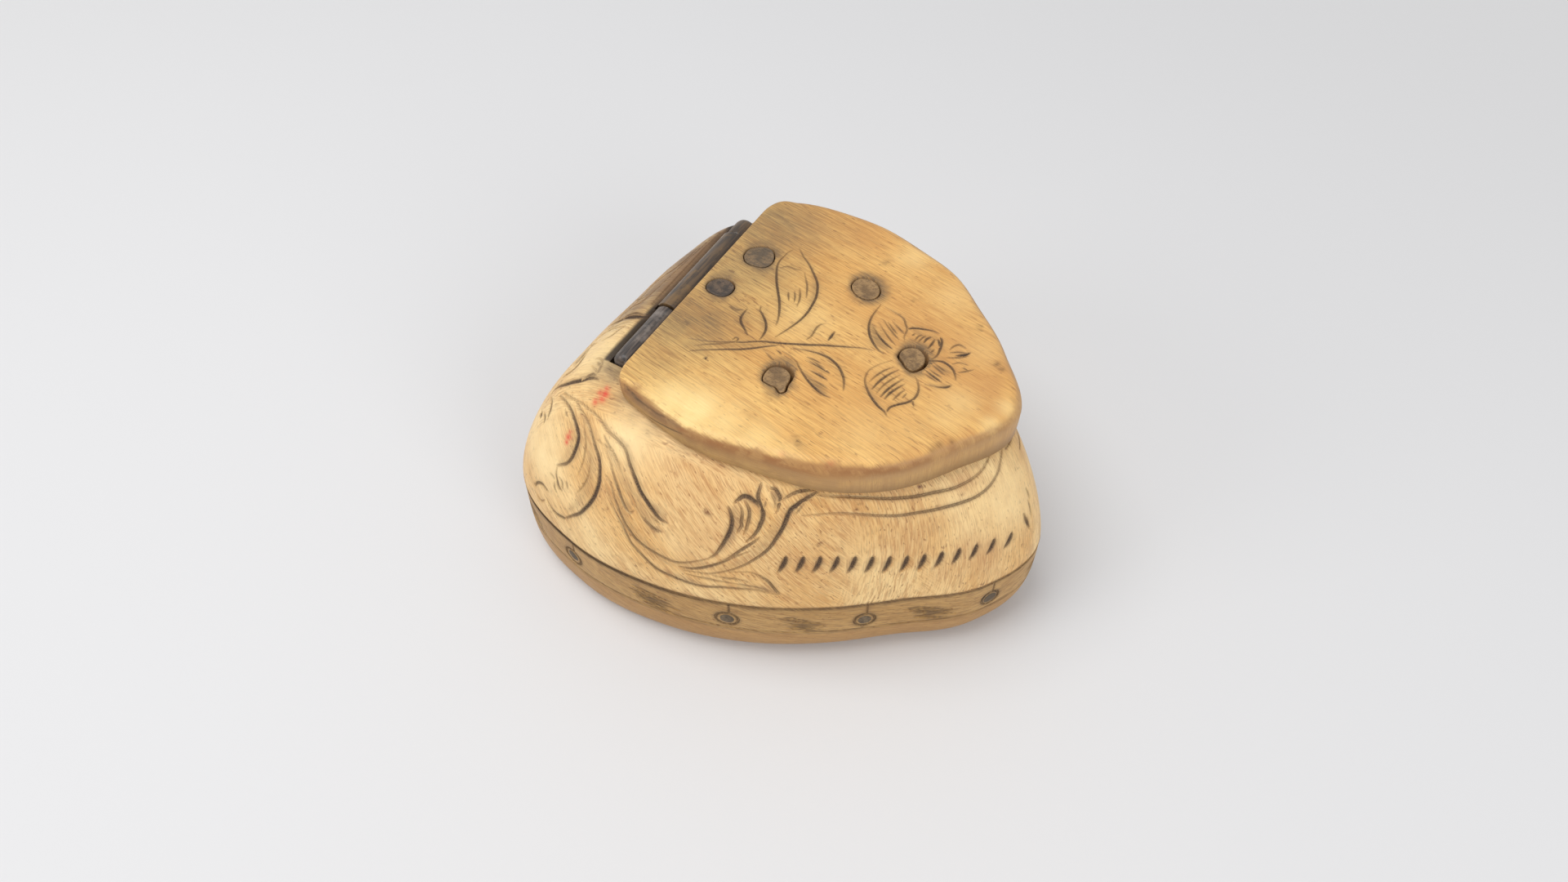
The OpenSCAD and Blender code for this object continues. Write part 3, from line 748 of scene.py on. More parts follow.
def engraving_tree():
    """Cuts grooves along the marks, and stores how dark the dirt in them is, and the dirt and painted shade
    beside them.
    """
    tree, given = new_tree(
        "engraving",
        {
            "Cuts": "NodeSocketObject",
            "Smears": "NodeSocketObject",
            "Depth": "NodeSocketFloat",
            "Scoop": "NodeSocketFloat",
            "Material": "NodeSocketMaterial",
        },
    )
    wire = Wire(tree)
    place = wire.add("GeometryNodeInputPosition")

    def nearest(marks):
        """Distance to the nearest mark in half widths, and the mark's tone."""
        lines = wire.add("GeometryNodeObjectInfo", {}, {"Object": marks}, "Geometry")
        away = wire.add(
            "GeometryNodeProximity",
            {"target_element": "EDGES"},
            {"Geometry": lines, "Sample Position": place},
            "Distance",
        )
        index = wire.add("GeometryNodeSampleNearest", {}, {"Geometry": lines, "Sample Position": place})
        found = []
        for label in ("reach", "tone"):
            value = wire.add("GeometryNodeInputNamedAttribute", {}, {"Name": label})
            sample = {"Geometry": lines, "Value": value, "Index": index}
            found.append(wire.add("GeometryNodeSampleIndex", {}, sample))
        return away / (found[0] + 0.000001), found[1]

    far, tone = nearest(given["Cuts"])
    smear_far, smear_tone = nearest(given["Smears"])
    groove = (1 - far * GROOVE_REACH).clamped() ** 1.2 * tone
    ink = (1 - far.ramp(*INK_EDGE)) * tone
    # A soft halo beside every cut, kept with the smears: painted shade of the carved slopes.
    beside = (1 - far.ramp(*BESIDE_EDGE)) * tone * BESIDE_TONE
    smear = wire.math("MAXIMUM", (1 - smear_far.ramp(*SMEAR_EDGE)) * smear_tone, beside)
    normal = wire.add("GeometryNodeInputNormal")
    depth = given["Depth"] * (groove + smear * given["Scoop"]) * -1
    sink = wire.add("ShaderNodeVectorMath", {"operation": "SCALE"}, {"Vector": normal, "Scale": depth})
    shape = wire.add("GeometryNodeSetPosition", {}, {"Geometry": given["Geometry"], "Offset": sink})
    for label, value in (("ink", ink), ("smear", smear)):
        stored = {"Geometry": shape, "Name": label, "Value": value}
        shape = wire.add("GeometryNodeStoreNamedAttribute", {}, stored)
    shape = wire.add("GeometryNodeSetMaterial", {}, {"Geometry": shape, "Material": given["Material"]})
    wire.add("NodeGroupOutput", {}, {"Geometry": shape})
    return tree


ENGRAVING = engraving_tree()


def thin_out(piece, triangles):
    """Joins faces where the surface is plain, and keeps them where it is cut."""
    mesh = piece.data
    count = sum(len(p.vertices) - 2 for p in mesh.polygons)
    if count > triangles:
        fewer = piece.modifiers.new("fewer", "DECIMATE")
        fewer.ratio = triangles / count
        make_plain(piece)


def engrave(piece, cuts, smears, depth, scoop, material, triangles):
    """Cuts the marks into a piece's skin, gives it its material, and thins it out where it is plain."""
    lines = mark_mesh(piece.name + "_cuts", cuts)
    dirt = mark_mesh(piece.name + "_smears", smears)
    values = {"Cuts": lines, "Smears": dirt, "Depth": depth * MM, "Scoop": scoop, "Material": material}
    grow(piece, ENGRAVING, values)
    thin_out(piece, triangles)
    for spent in (lines, dirt):
        bpy.data.objects.remove(spent)


def add_blots(piece, label, blots):
    """Stores a soft mask round places seen in the photograph: pixel, radius in mm, and strength."""
    skin = BVHTree.FromObject(piece, bpy.context.evaluated_depsgraph_get())
    mesh = piece.data
    place = np.empty(len(mesh.vertices) * 3)
    mesh.vertices.foreach_get("co", place)
    place = place.reshape(-1, 3)
    mask = np.zeros(len(place))
    for px, py, radius, strength in blots:
        hit = skin.ray_cast(camera.location, sight(px, py))[0]
        if hit is not None:
            away = np.linalg.norm(place - np.array(hit), axis=1) / (radius * MM)
            mask = np.maximum(mask, strength * np.exp(-(away**2)))
    mesh.attributes.new(label, "FLOAT", "POINT").data.foreach_set("value", mask)


# How squarely the first layers may face the surface before the second ones take over.
GRAIN_SWAP = (0.74, 0.8)
PIT_COLOUR = srgb(134, 86, 50)
INK_COLOUR = srgb(76, 59, 46)


def bone_material(name, honey, cream, tan, dirt, layers, blots=(), finish_and_shade=None, drawn=1):
    """Polished bone: a warm ground, fibres and pores along its grain, dirt in the cuts, dirt and painted
    shade beside them, stains, and wear with painted light.

    The grain lies in thin layers across one direction. A second one takes over where the first faces
    the surface. Blots are the stored masks it shows, with the colour of each. A finish function adds
    what one piece alone has, such as its painted shade.
    """
    material, wire = new_material(name)
    place = wire.add("ShaderNodeTexCoord", out="Object")
    turned = []
    for layer in layers:
        turn = Vector(layer).to_track_quat("Z", "Y").inverted().to_euler()
        turned.append(wire.add("ShaderNodeMapping", {}, {"Vector": place, "Rotation": turn}))
    outward = wire.add("ShaderNodeNewGeometry", out="Normal")
    facing = wire.vector("DOT_PRODUCT", outward, Vector(layers[0]).normalized(), "Value")
    second = wire.math("ABSOLUTE", facing).ramp(*GRAIN_SWAP)

    def grain(across, lengthwise, detail=3.0, rough=0.55):
        """Noise in thin layers, from 0 to 1: fine across them and drawn out along them."""
        fields = []
        for turn in turned:
            scale = (lengthwise / drawn, lengthwise / drawn, across)
            squeezed = wire.add("ShaderNodeMapping", {}, {"Vector": turn, "Scale": scale})
            fields.append(squeezed.noise(1.0, detail, rough))
        return fields[0] if len(fields) == 1 else fields[0] * (1 - second) + fields[1] * second

    def mask(label):
        return wire.add("ShaderNodeAttribute", {"attribute_name": label}, out="Fac")

    broad = grain(110, 45, 3)
    streak = grain(1400, 90)
    fibre = grain(6200, 430, 2, 0.6)
    hair = grain(9500, 620, 1)
    pores = grain(4600, 1300, 0)
    cloud = place.noise(320.0, 5.0, 0.65)
    speck = place.noise(6500.0, 1.0)
    pits = pores.ramp(0.73, 0.77)
    colour = broad.ramp(0.36, 0.64).blend(honey, cream)
    colour = (streak.ramp(0.45, 0.7) * 0.3).blend(colour, tan)
    colour = ((1 - cloud.ramp(0.3, 0.5)) * 0.3).blend(colour, tan)
    colour = (fibre.ramp(0.5, 0.6) * (0.25 + broad * 0.4)).blend(colour, tan)
    colour = ((1 - fibre.ramp(0.36, 0.48)) * 0.4).blend(colour, cream)
    colour = (hair.ramp(0.53, 0.63) * 0.28).blend(colour, dirt)
    colour = (pits * 0.6).blend(colour, PIT_COLOUR)
    # Blots: stains and wear, and among them painted light and shade.
    for label, blot_colour in blots:
        amount = mask(label) * (0.72 + cloud.ramp(0.3, 0.7) * 0.28 + (fibre - 0.5) * 1.1)
        colour = amount.clamped().blend(colour, blot_colour)
    if finish_and_shade:
        colour = finish_and_shade(wire, place, colour, cloud, fibre)
    # Dirt and painted shade beside the cuts, in the dirt colour.
    smear = (mask("smear") * (0.45 + cloud.ramp(0.3, 0.7) * 0.4 + hair.ramp(0.35, 0.65) * 0.4)).clamped()
    colour = smear.blend(colour, dirt)
    ink = (mask("ink") * (0.9 + speck.ramp(0.3, 0.65) * 0.3)).clamped()
    colour = ink.blend(colour, INK_COLOUR)
    height = streak * 0.5 + fibre * 0.6 + hair * 0.3 - pits * 0.6 + speck * 0.1
    rough = 0.38 + streak * 0.14 + ink * 0.25 + smear * 0.15
    satin(wire, colour, rough, height, 0.45, 0.12 * MM)
    return material


# Stains seen in the photograph, with painted light and shade among them: a pixel, a radius in millimetres
# and a strength. They fade outwards.
SHELL_BLOTS = {
    # Soil: dirt on the rear shoulder and round the hinge, and painted shade on the shell just under the
    # lid's left and front edge.
    "soil": [
        (804, 352, 7, 0.9), (778, 376, 4.5, 0.85), (848, 312, 8, 0.95), (884, 284, 6, 1),
        (753, 453, 3, 0.8), (748, 441, 1.8, 0.6), (764, 487, 1.8, 0.55), (778, 505, 1.8, 0.4),
        (800, 522, 2, 0.3), (838, 543, 2, 0.25),
    ],
    # Worn: pale patches that are partly wear and partly painted light on the sides lit most.
    "worn": [
        (668, 560, 5, 0.9), (652, 540, 4, 0.8), (672, 525, 4, 0.6), (770, 535, 4.5, 0.8),
        (792, 560, 4, 0.4), (735, 435, 5, 0.75), (745, 410, 3, 0.5), (690, 600, 3.5, 0.35),
        (720, 655, 4, 0.4), (1190, 640, 5, 0.35), (1235, 610, 6, 0.75), (1215, 655, 5, 0.4),
        (1170, 615, 4, 0.4), (1060, 692, 4, 0.25), (830, 668, 3, 0.25),
    ],
    "amber": [
        (1205, 682, 3, 0.6), (1188, 668, 2.2, 0.5), (1155, 700, 2.5, 0.35), (1040, 640, 4, 0.3),
        (1110, 660, 4, 0.4), (1180, 590, 1.5, 0.6), (850, 600, 7, 0.4), (870, 655, 5, 0.4),
        (985, 690, 5, 0.3), (900, 545, 3, 0.3), (745, 600, 2, 0.3),
    ],
    "rust": [
        (866, 628, 0.32, 1.3), (870, 631, 0.24, 1.1), (863, 625, 0.2, 0.9), (1005, 665, 0.3, 1),
        (1001, 668, 0.22, 0.8), (1052, 617, 0.2, 0.9), (1049, 624, 0.22, 0.9),
        (1046, 633, 0.16, 0.7), (1126, 596, 0.25, 1), (1147, 620, 0.2, 0.8), (1088, 600, 0.18, 0.7),
        (778, 703, 0.2, 0.9), (1103, 668, 0.18, 0.7), (930, 560, 0.2, 0.6), (1178, 606, 0.22, 0.8),
    ],
    "rouge": [
        (741, 483, 0.6, 1.2), (737, 488, 0.55, 1.1), (729, 492, 0.45, 1.1), (743, 476, 0.4, 1),
        (735, 481, 0.5, 0.8), (696, 535, 0.5, 1.1), (694, 541, 0.4, 1), (698, 529, 0.3, 0.8),
    ],
}
# Where the painted shade of the hinge's groove fades, from the hinge's axis, and where along the axis it
# ends.
HINGE_SHADE = (2.6 * MM, 3.3 * MM)
HINGE_SHADE_ENDS = (-16.9 * MM, 18.6 * MM)


def hinge_shade(wire, place, colour, cloud, fibre):
    """Painted shade in the groove that holds the hinge and in the gap beside the barrel, fading out over
    the bone next to it.
    """
    middle = tuple(c * MM for c in (-(HINGE_X + PLAN_SHIFT[0]), 0, -HINGE_Z))
    off = wire.vector("ADD", place, middle)
    flat = wire.vector("MULTIPLY", off, (1, 0, 1))
    away = wire.vector("LENGTH", flat, out="Value")
    along = place.part("Y")
    first, last = (y + PLAN_SHIFT[1] * MM for y in HINGE_SHADE_ENDS)
    inside = along.ramp(first, first + 0.5 * MM) * (1 - along.ramp(last - 0.5 * MM, last))
    shade = (1 - away.ramp(*HINGE_SHADE)) * inside
    return (shade * 0.94).blend(colour, srgb(50, 40, 34))


shell_marks = marks_on(shell, SHELL_CUTS.values())
shell_dirt_and_shade = marks_on(shell, SHELL_SMEARS.values())

# What the photograph doesn't show goes on by rule: the double border runs on round the far side,
# a row of slanting nicks fills the lower wall, and the seam holds a dark line of dirt and painted shade.
BORDER_FAR = ((-3, 128, 0.85), (2, 122, 0.71))
BORDER_CUT = (0.26, 1, 0.2)
NICKS = 14
NICK_FIRST = (958, 692)
NICK_STEP = 21.3
NICK_RISE = (1080, 155, 30)
NICK_CURVE = ((4.5, -10), (3, -4), (-0.5, 3), (-5, 9))
NICK_CUT = (0.42, 0.95, 0.4)
NICK_DIRT = (1.1, 0.5, 0.4)
SEAM_CUT = (0.13, 0.9, None)
SEAM_DIRT_AND_SHADE = (0.4, 0.4, None)


def on_shell(turns, t):
    """Points on the shell's side, in the row frame's metres."""
    turns, t = np.broadcast_arrays(np.asarray(turns, float), np.asarray(t, float))
    return (shell_at(turns, t[None])[0] + (*PLAN_SHIFT, 0)) * MM


for first, last, t in BORDER_FAR:
    turns = np.linspace(first, last, 400)
    shell_marks.append((on_shell(turns, t + 0.008 * np.sin(np.radians(turns * 3))), *BORDER_CUT))
for k in range(NICKS):
    px = NICK_FIRST[0] + NICK_STEP * k
    py = NICK_FIRST[1] - NICK_RISE[2] * (max(0, px - NICK_RISE[0]) / NICK_RISE[1]) ** 2
    nick = [(px + right, py + down) for right, down in NICK_CURVE]
    shell_marks += marks_on(shell, [(*NICK_CUT, nick)])
    shell_dirt_and_shade += marks_on(shell, [(*NICK_DIRT, nick)])
round_turns = np.linspace(0, 360, 3000)
# The seam's dark line: dirt and painted shade where the shell meets the base.
shell_marks.append((on_shell(round_turns, 0.012), *SEAM_CUT))
shell_dirt_and_shade.append((on_shell(round_turns, 0.02), *SEAM_DIRT_AND_SHADE))

shell_bone = bone_material(
    "shell_bone",
    srgb(228, 181, 114),
    srgb(246, 211, 150),
    srgb(184, 128, 76),
    srgb(134, 104, 76),
    ((0.08, 0.98, -0.19), (0.66, 0.3, 0.69)),
    (
        ("worn", srgb(254, 225, 168)),
        ("amber", srgb(188, 132, 82)),
        ("soil", srgb(110, 90, 70)),
        ("rust", srgb(112, 66, 42)),
        ("rouge", srgb(216, 74, 58)),
    ),
    hinge_shade,
)
engrave(shell, shell_marks, shell_dirt_and_shade, SHELL_DEPTH, SHELL_SCOOP, shell_bone, SHELL_TRIANGLES)
for label, blots in SHELL_BLOTS.items():
    add_blots(shell, label, blots)
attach(shell, "box")
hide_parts("body_shell")


# ---- Base ----
# A separate shallow dish of darker bone with its own slanting grain, held to the shell's lip by
# eleven pegs. A fine line, patches of slanting cuts and a stem from the seam to each peg are
# engraved round its band.
FOOT_IN = (5.5, 0.5)
FOOT_TURN = -25
BAND_SWELL = 0.4
BASE_WALL = 2.6
FLOOR_T = 3.5
BAND_LINE_Z = 7.4
BASE_PEG_Z = 9.7
BASE_PEG_TURNS = (276, 310, 342, 15, 47, 80, 113, 146, 178, 209, 240)
PEG_RING_R = 1.42
BASE_INSIDE = (
    (SEAM_BEVEL, BASE_H),
    (BASE_WALL, BASE_H),
    (BASE_WALL, BASE_H - LIP_H - 0.1),
    (LIP_IN, BASE_H - LIP_H - 0.1),
    (LIP_IN + 0.2, FLOOR_T + 2),
    (LIP_IN + 0.7, FLOOR_T + 0.8),
    (LIP_IN + 1.5, FLOOR_T + 0.2),
    (LIP_IN + 2.4, FLOOR_T),
)
BAND_FULLNESS = 2.7
BAND_ROWS = 96
BASE_DEPTH = 0.2
BASE_TRIANGLES = 170000
PEGS_WITH_FOOT_STEM = (1, 4, 9)
SEAM_WIDE = slice(700, 1150)
HATCH_CUTS = 8
HATCH_TOP = 11.2
HATCH_PITCH = 0.44
HATCH_HALF_SPAN = (3, 5.5)
HATCH_DIRT_HEIGHTS = (8.9, 9.6, 10.3)
BAND_LINE_CUT = (0.12, 1, None)
BAND_LINE_DIRT = (0.4, 0.35, None)
BASE_SEAM_CUT = (0.17, 1, None)
BASE_SEAM_DIRT_AND_SHADE = (0.5, 0.6, None)
WIDE_SEAM_SHADOW_CUT = (0.32, 1.2, 0.4)
WIDE_SEAM_SHADOW = (0.9, 0.9, 0.4)
PEG_RING_CUT = (0.2, 1.5, None)
PEG_RING_DIRT = (0.6, 0.6, None)
STEM_CUT = (0.15, 1.1, None)
FOOT_STEM_CUT = (0.13, 1, None)
HATCH_HALF_WIDTH = 0.14
HATCH_DIRT = (0.8, 0.5, 0.5)
HATCH_MIDDLES = (258, 293, 326, 358, 31, 64, 97, 130, 162, 194, 225)


def band_at(turn, t):
    """The base's outer side: t runs from 0 at the seam to 1 at the foot."""
    swing = (FOOT_IN[0] - FOOT_IN[1]) / 2 * np.cos(np.radians(np.asarray(turn) - FOOT_TURN))
    foot_in = (FOOT_IN[0] + FOOT_IN[1]) / 2 + swing
    along, up = bulge(t, BAND_FULLNESS)
    inset = foot_in * (1 - along) - BAND_SWELL * np.sin(math.pi * np.asarray(t))
    xy = drawn_in(seam_xy(turn) * np.ones(np.shape(inset) + (1,)), inset)
    return np.dstack([xy, BASE_H * (1 - up)])


def band_t(z):
    """The t at which the base's side has a height."""
    return np.arcsin((1 - z / BASE_H) ** (BAND_FULLNESS / 2)) / (math.pi / 2)


def on_band(turns, heights):
    """Points on the base's side, in the row frame's metres."""
    turns, heights = np.broadcast_arrays(np.asarray(turns, float), np.asarray(heights, float))
    points = band_at(turns, band_t(heights)[None])[0]
    return (points + (*PLAN_SHIFT, 0)) * MM


band_rows = band_at(TURN, even_rows(band_at, TURN, BAND_ROWS)[::-1])
base_rings = np.concatenate([band_rows, *seam_rings(BASE_INSIDE)])
base_rings[len(band_rows) - 1, :, 2] = BASE_H - SEAM_BEVEL
under_bevel = base_rings[len(band_rows) - 2]
under_bevel[:, 2] = np.minimum(under_bevel[:, 2], BASE_H - SEAM_BEVEL - 0.05)
base_faces = wall_faces(len(base_rings), COLUMNS) + end_faces(len(base_rings), COLUMNS)
base = new_piece("engraved_base", base_rings.reshape(-1, 3), base_faces)

# The marks round the band, by rule: the line, the peg rings and stems, and the hatched patches.
draw = np.random.default_rng(7)
base_marks = []
whole = np.linspace(0, 360, 1500)
wander = 0.1 * np.sin(np.radians(whole * 3)) + 0.06 * np.sin(np.radians(whole * 11))
base_marks.append((on_band(whole, BAND_LINE_Z + wander), *BAND_LINE_CUT))
base_smears = [(on_band(whole, BAND_LINE_Z - 0.4), *BAND_LINE_DIRT)]
# The seam: a dark line of dirt and painted shade all round, and a wider, darker stretch on the left that
# paints the shadow in the gap under the shell.
base_marks.append((on_band(whole, BASE_H - 0.16), *BASE_SEAM_CUT))
base_marks.append((on_band(whole[SEAM_WIDE], BASE_H - 0.25), *WIDE_SEAM_SHADOW_CUT))
base_smears.append((on_band(whole, BASE_H - 0.2), *BASE_SEAM_DIRT_AND_SHADE))
base_smears.append((on_band(whole[SEAM_WIDE], BASE_H - 0.3), *WIDE_SEAM_SHADOW))
for k, turn in enumerate(BASE_PEG_TURNS):
    around = np.linspace(0, 2 * math.pi, 80)
    arc = math.degrees(PEG_RING_R / np.linalg.norm(seam_xy(np.array([turn]))))
    peg_ring = on_band(turn + arc * np.cos(around), BASE_PEG_Z + PEG_RING_R * np.sin(around))
    base_marks.append((peg_ring, *PEG_RING_CUT))
    base_smears.append((peg_ring, *PEG_RING_DIRT))
    stem = np.linspace(BASE_H - 0.35, BASE_PEG_Z + PEG_RING_R, 20)
    base_marks.append((on_band(turn + 0.5, stem), *STEM_CUT))
    if k in PEGS_WITH_FOOT_STEM:
        foot_stem = np.linspace(BASE_PEG_Z - PEG_RING_R, BAND_LINE_Z, 8)
        base_marks.append((on_band(turn - 0.4, foot_stem), *FOOT_STEM_CUT))
for middle in HATCH_MIDDLES:
    for k in range(HATCH_CUTS):
        span = draw.uniform(*HATCH_HALF_SPAN)
        start = middle - span + draw.uniform(-1.5, 1.5) + 0.35 * k
        z = HATCH_TOP - HATCH_PITCH * k + draw.uniform(-0.08, 0.08)
        run = np.linspace(0, 1, 50)
        sag = z - 0.5 * run + 0.12 * np.sin(run * 5 + k)
        darkness = draw.uniform(0.8, 1.3)
        base_marks.append((on_band(start + 2 * span * run, sag), HATCH_HALF_WIDTH, darkness, 0.45))
    for z in HATCH_DIRT_HEIGHTS:
        patch = np.linspace(middle - 3.5, middle + 3.5, 40) + (10 - z) * 0.8
        base_smears.append((on_band(patch, z), *HATCH_DIRT))
FOOT_SHADE = (6.2 * MM, 7.8 * MM)


def foot_shade(wire, place, colour, cloud, fibre):
    """The foot under the fine line is browner."""
    height = place.part("Z")
    low = 1 - height.ramp(*FOOT_SHADE)
    return (low * (0.35 + fibre * 0.3)).clamped().blend(colour, srgb(172, 126, 74))


base_bone = bone_material(
    "base_bone",
    srgb(184, 142, 84),
    srgb(205, 164, 104),
    srgb(142, 102, 58),
    srgb(88, 72, 54),
    ((0.35, -0.3, 0.88), (0.3, 0.5, 0.8)),
    finish_and_shade=foot_shade,
)
engrave(base, base_marks, base_smears, BASE_DEPTH, 0.0, base_bone, BASE_TRIANGLES)
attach(base, "box")
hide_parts("base_dish")


# ---- Base pegs ----
# Eleven small bone pegs, a thumb's width apart, driven through the base's wall into the lip.
# Each ends flush with the band in a rubbed, slightly domed head.
PEG_PROFILE = ((0, 0.02), (0.6, 0.02), (1, 0), (1.2, -0.05), (1.29, -0.14), (1.29, -3.9), (0, -3.9))
PEG_SIDES = 40

peg_turns = np.radians(np.arange(0, 360, 360 / PEG_SIDES))
peg_points = [(0, 0, PEG_PROFILE[0][1])]
for radius, height in PEG_PROFILE[1:-1]:
    peg_points += [(radius * math.cos(a), radius * math.sin(a), height) for a in peg_turns]
peg_points.append((0, 0, PEG_PROFILE[-1][1]))
peg_faces = [(0, 1 + k, 1 + (k + 1) % PEG_SIDES) for k in range(PEG_SIDES)]
for row in range(len(PEG_PROFILE) - 3):
    a, b = 1 + row * PEG_SIDES, 1 + (row + 1) * PEG_SIDES
    for k in range(PEG_SIDES):
        after_k = (k + 1) % PEG_SIDES
        peg_faces.append((a + k, b + k, b + after_k, a + after_k))
low = 1 + (len(PEG_PROFILE) - 3) * PEG_SIDES
peg_faces += [(low + k, len(peg_points) - 1, low + (k + 1) % PEG_SIDES) for k in range(PEG_SIDES)]
peg_mesh = bpy.data.meshes.new("peg_shape")
peg_mesh.from_pydata([tuple(c * MM for c in p) for p in peg_points], [], peg_faces)
peg_mesh.polygons.foreach_set("use_smooth", [True] * len(peg_mesh.polygons))
peg_shape = placed("peg_shape", peg_mesh)

peg_places = on_band(BASE_PEG_TURNS, BASE_PEG_Z)
before = on_band(np.array(BASE_PEG_TURNS) - 1, BASE_PEG_Z)
after = on_band(np.array(BASE_PEG_TURNS) + 1, BASE_PEG_Z)
peg_aims = np.cross(after - before, (0, 0, 1))
pegs_mesh = bpy.data.meshes.new("base_pegs")
pegs_mesh.from_pydata(peg_places.tolist(), [], [])
aims = pegs_mesh.attributes.new("aim", "FLOAT_VECTOR", "POINT")
aims.data.foreach_set("vector", (peg_aims / np.linalg.norm(peg_aims, axis=1, keepdims=True)).ravel())
base_pegs = placed("base_pegs", pegs_mesh)


def pegs_tree():
    """Sets a peg at every point, aimed out of the wall, each shrunk a little by chance."""
    tree, given = new_tree(
        "base_pegs",
        {
            "Peg": "NodeSocketObject",
            "Least Size": "NodeSocketFloat",
            "Seed": "NodeSocketInt",
            "Material": "NodeSocketMaterial",
        },
    )
    wire = Wire(tree)
    aim = wire.add("GeometryNodeInputNamedAttribute", {"data_type": "FLOAT_VECTOR"}, {"Name": "aim"})
    turned = wire.add("FunctionNodeAlignRotationToVector", {"axis": "Z"}, {"Vector": aim})
    chance = {"Min": given["Least Size"], "Max": 1.0, "Seed": given["Seed"]}
    size = wire.add("FunctionNodeRandomValue", {"data_type": "FLOAT"}, chance, "Value")
    peg = wire.add("GeometryNodeObjectInfo", {}, {"Object": given["Peg"]}, "Geometry")
    setting = {"Points": given["Geometry"], "Instance": peg, "Rotation": turned, "Scale": size}
    set_in = wire.add("GeometryNodeInstanceOnPoints", {}, setting)
    real = wire.add("GeometryNodeRealizeInstances", {}, {"Geometry": set_in})
    finished = wire.add("GeometryNodeSetMaterial", {}, {"Geometry": real, "Material": given["Material"]})
    wire.add("NodeGroupOutput", {}, {"Geometry": finished})
    return tree


def peg_material(name, ground, dark, pit):
    """End grain of a bone or horn peg: a mottled ground, darker clouds and fine pits."""
    material, wire = new_material(name)
    place = wire.add("ShaderNodeTexCoord", out="Object")
    mottle = place.noise(2200.0, 4.0, 0.7)
    cloud = place.noise(700.0, 3.0)
    stretch = {"Vector": place, "Rotation": (0, 0, 0.4), "Scale": (1500, 7000, 7000)}
    stretched = wire.add("ShaderNodeMapping", {}, stretch)
    scratch = stretched.noise(1.0, 2.0)
    colour = cloud.ramp(0.38, 0.62).blend(dark, ground)
    colour = ((1 - mottle.ramp(0.38, 0.5)) * 0.75).blend(colour, dark)
    colour = (mottle.ramp(0.55, 0.66) * 0.4).blend(colour, ground)
    colour = (scratch.ramp(0.55, 0.66) * 0.6).blend(colour, pit)
    satin(wire, colour, 0.5 + mottle * 0.15, mottle + scratch * 0.4, 0.6, 0.14 * MM)
    return material


base_peg_finish = peg_material("base_peg_bone", srgb(122, 103, 78), srgb(88, 74, 57), srgb(66, 54, 44))
grow(base_pegs, pegs_tree(), {"Peg": peg_shape, "Least Size": 0.93, "Seed": 4, "Material": base_peg_finish})
bpy.data.objects.remove(peg_shape)
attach(base_pegs, "box")
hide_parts(*[f"base_peg_{k}" for k in range(1, 12)])


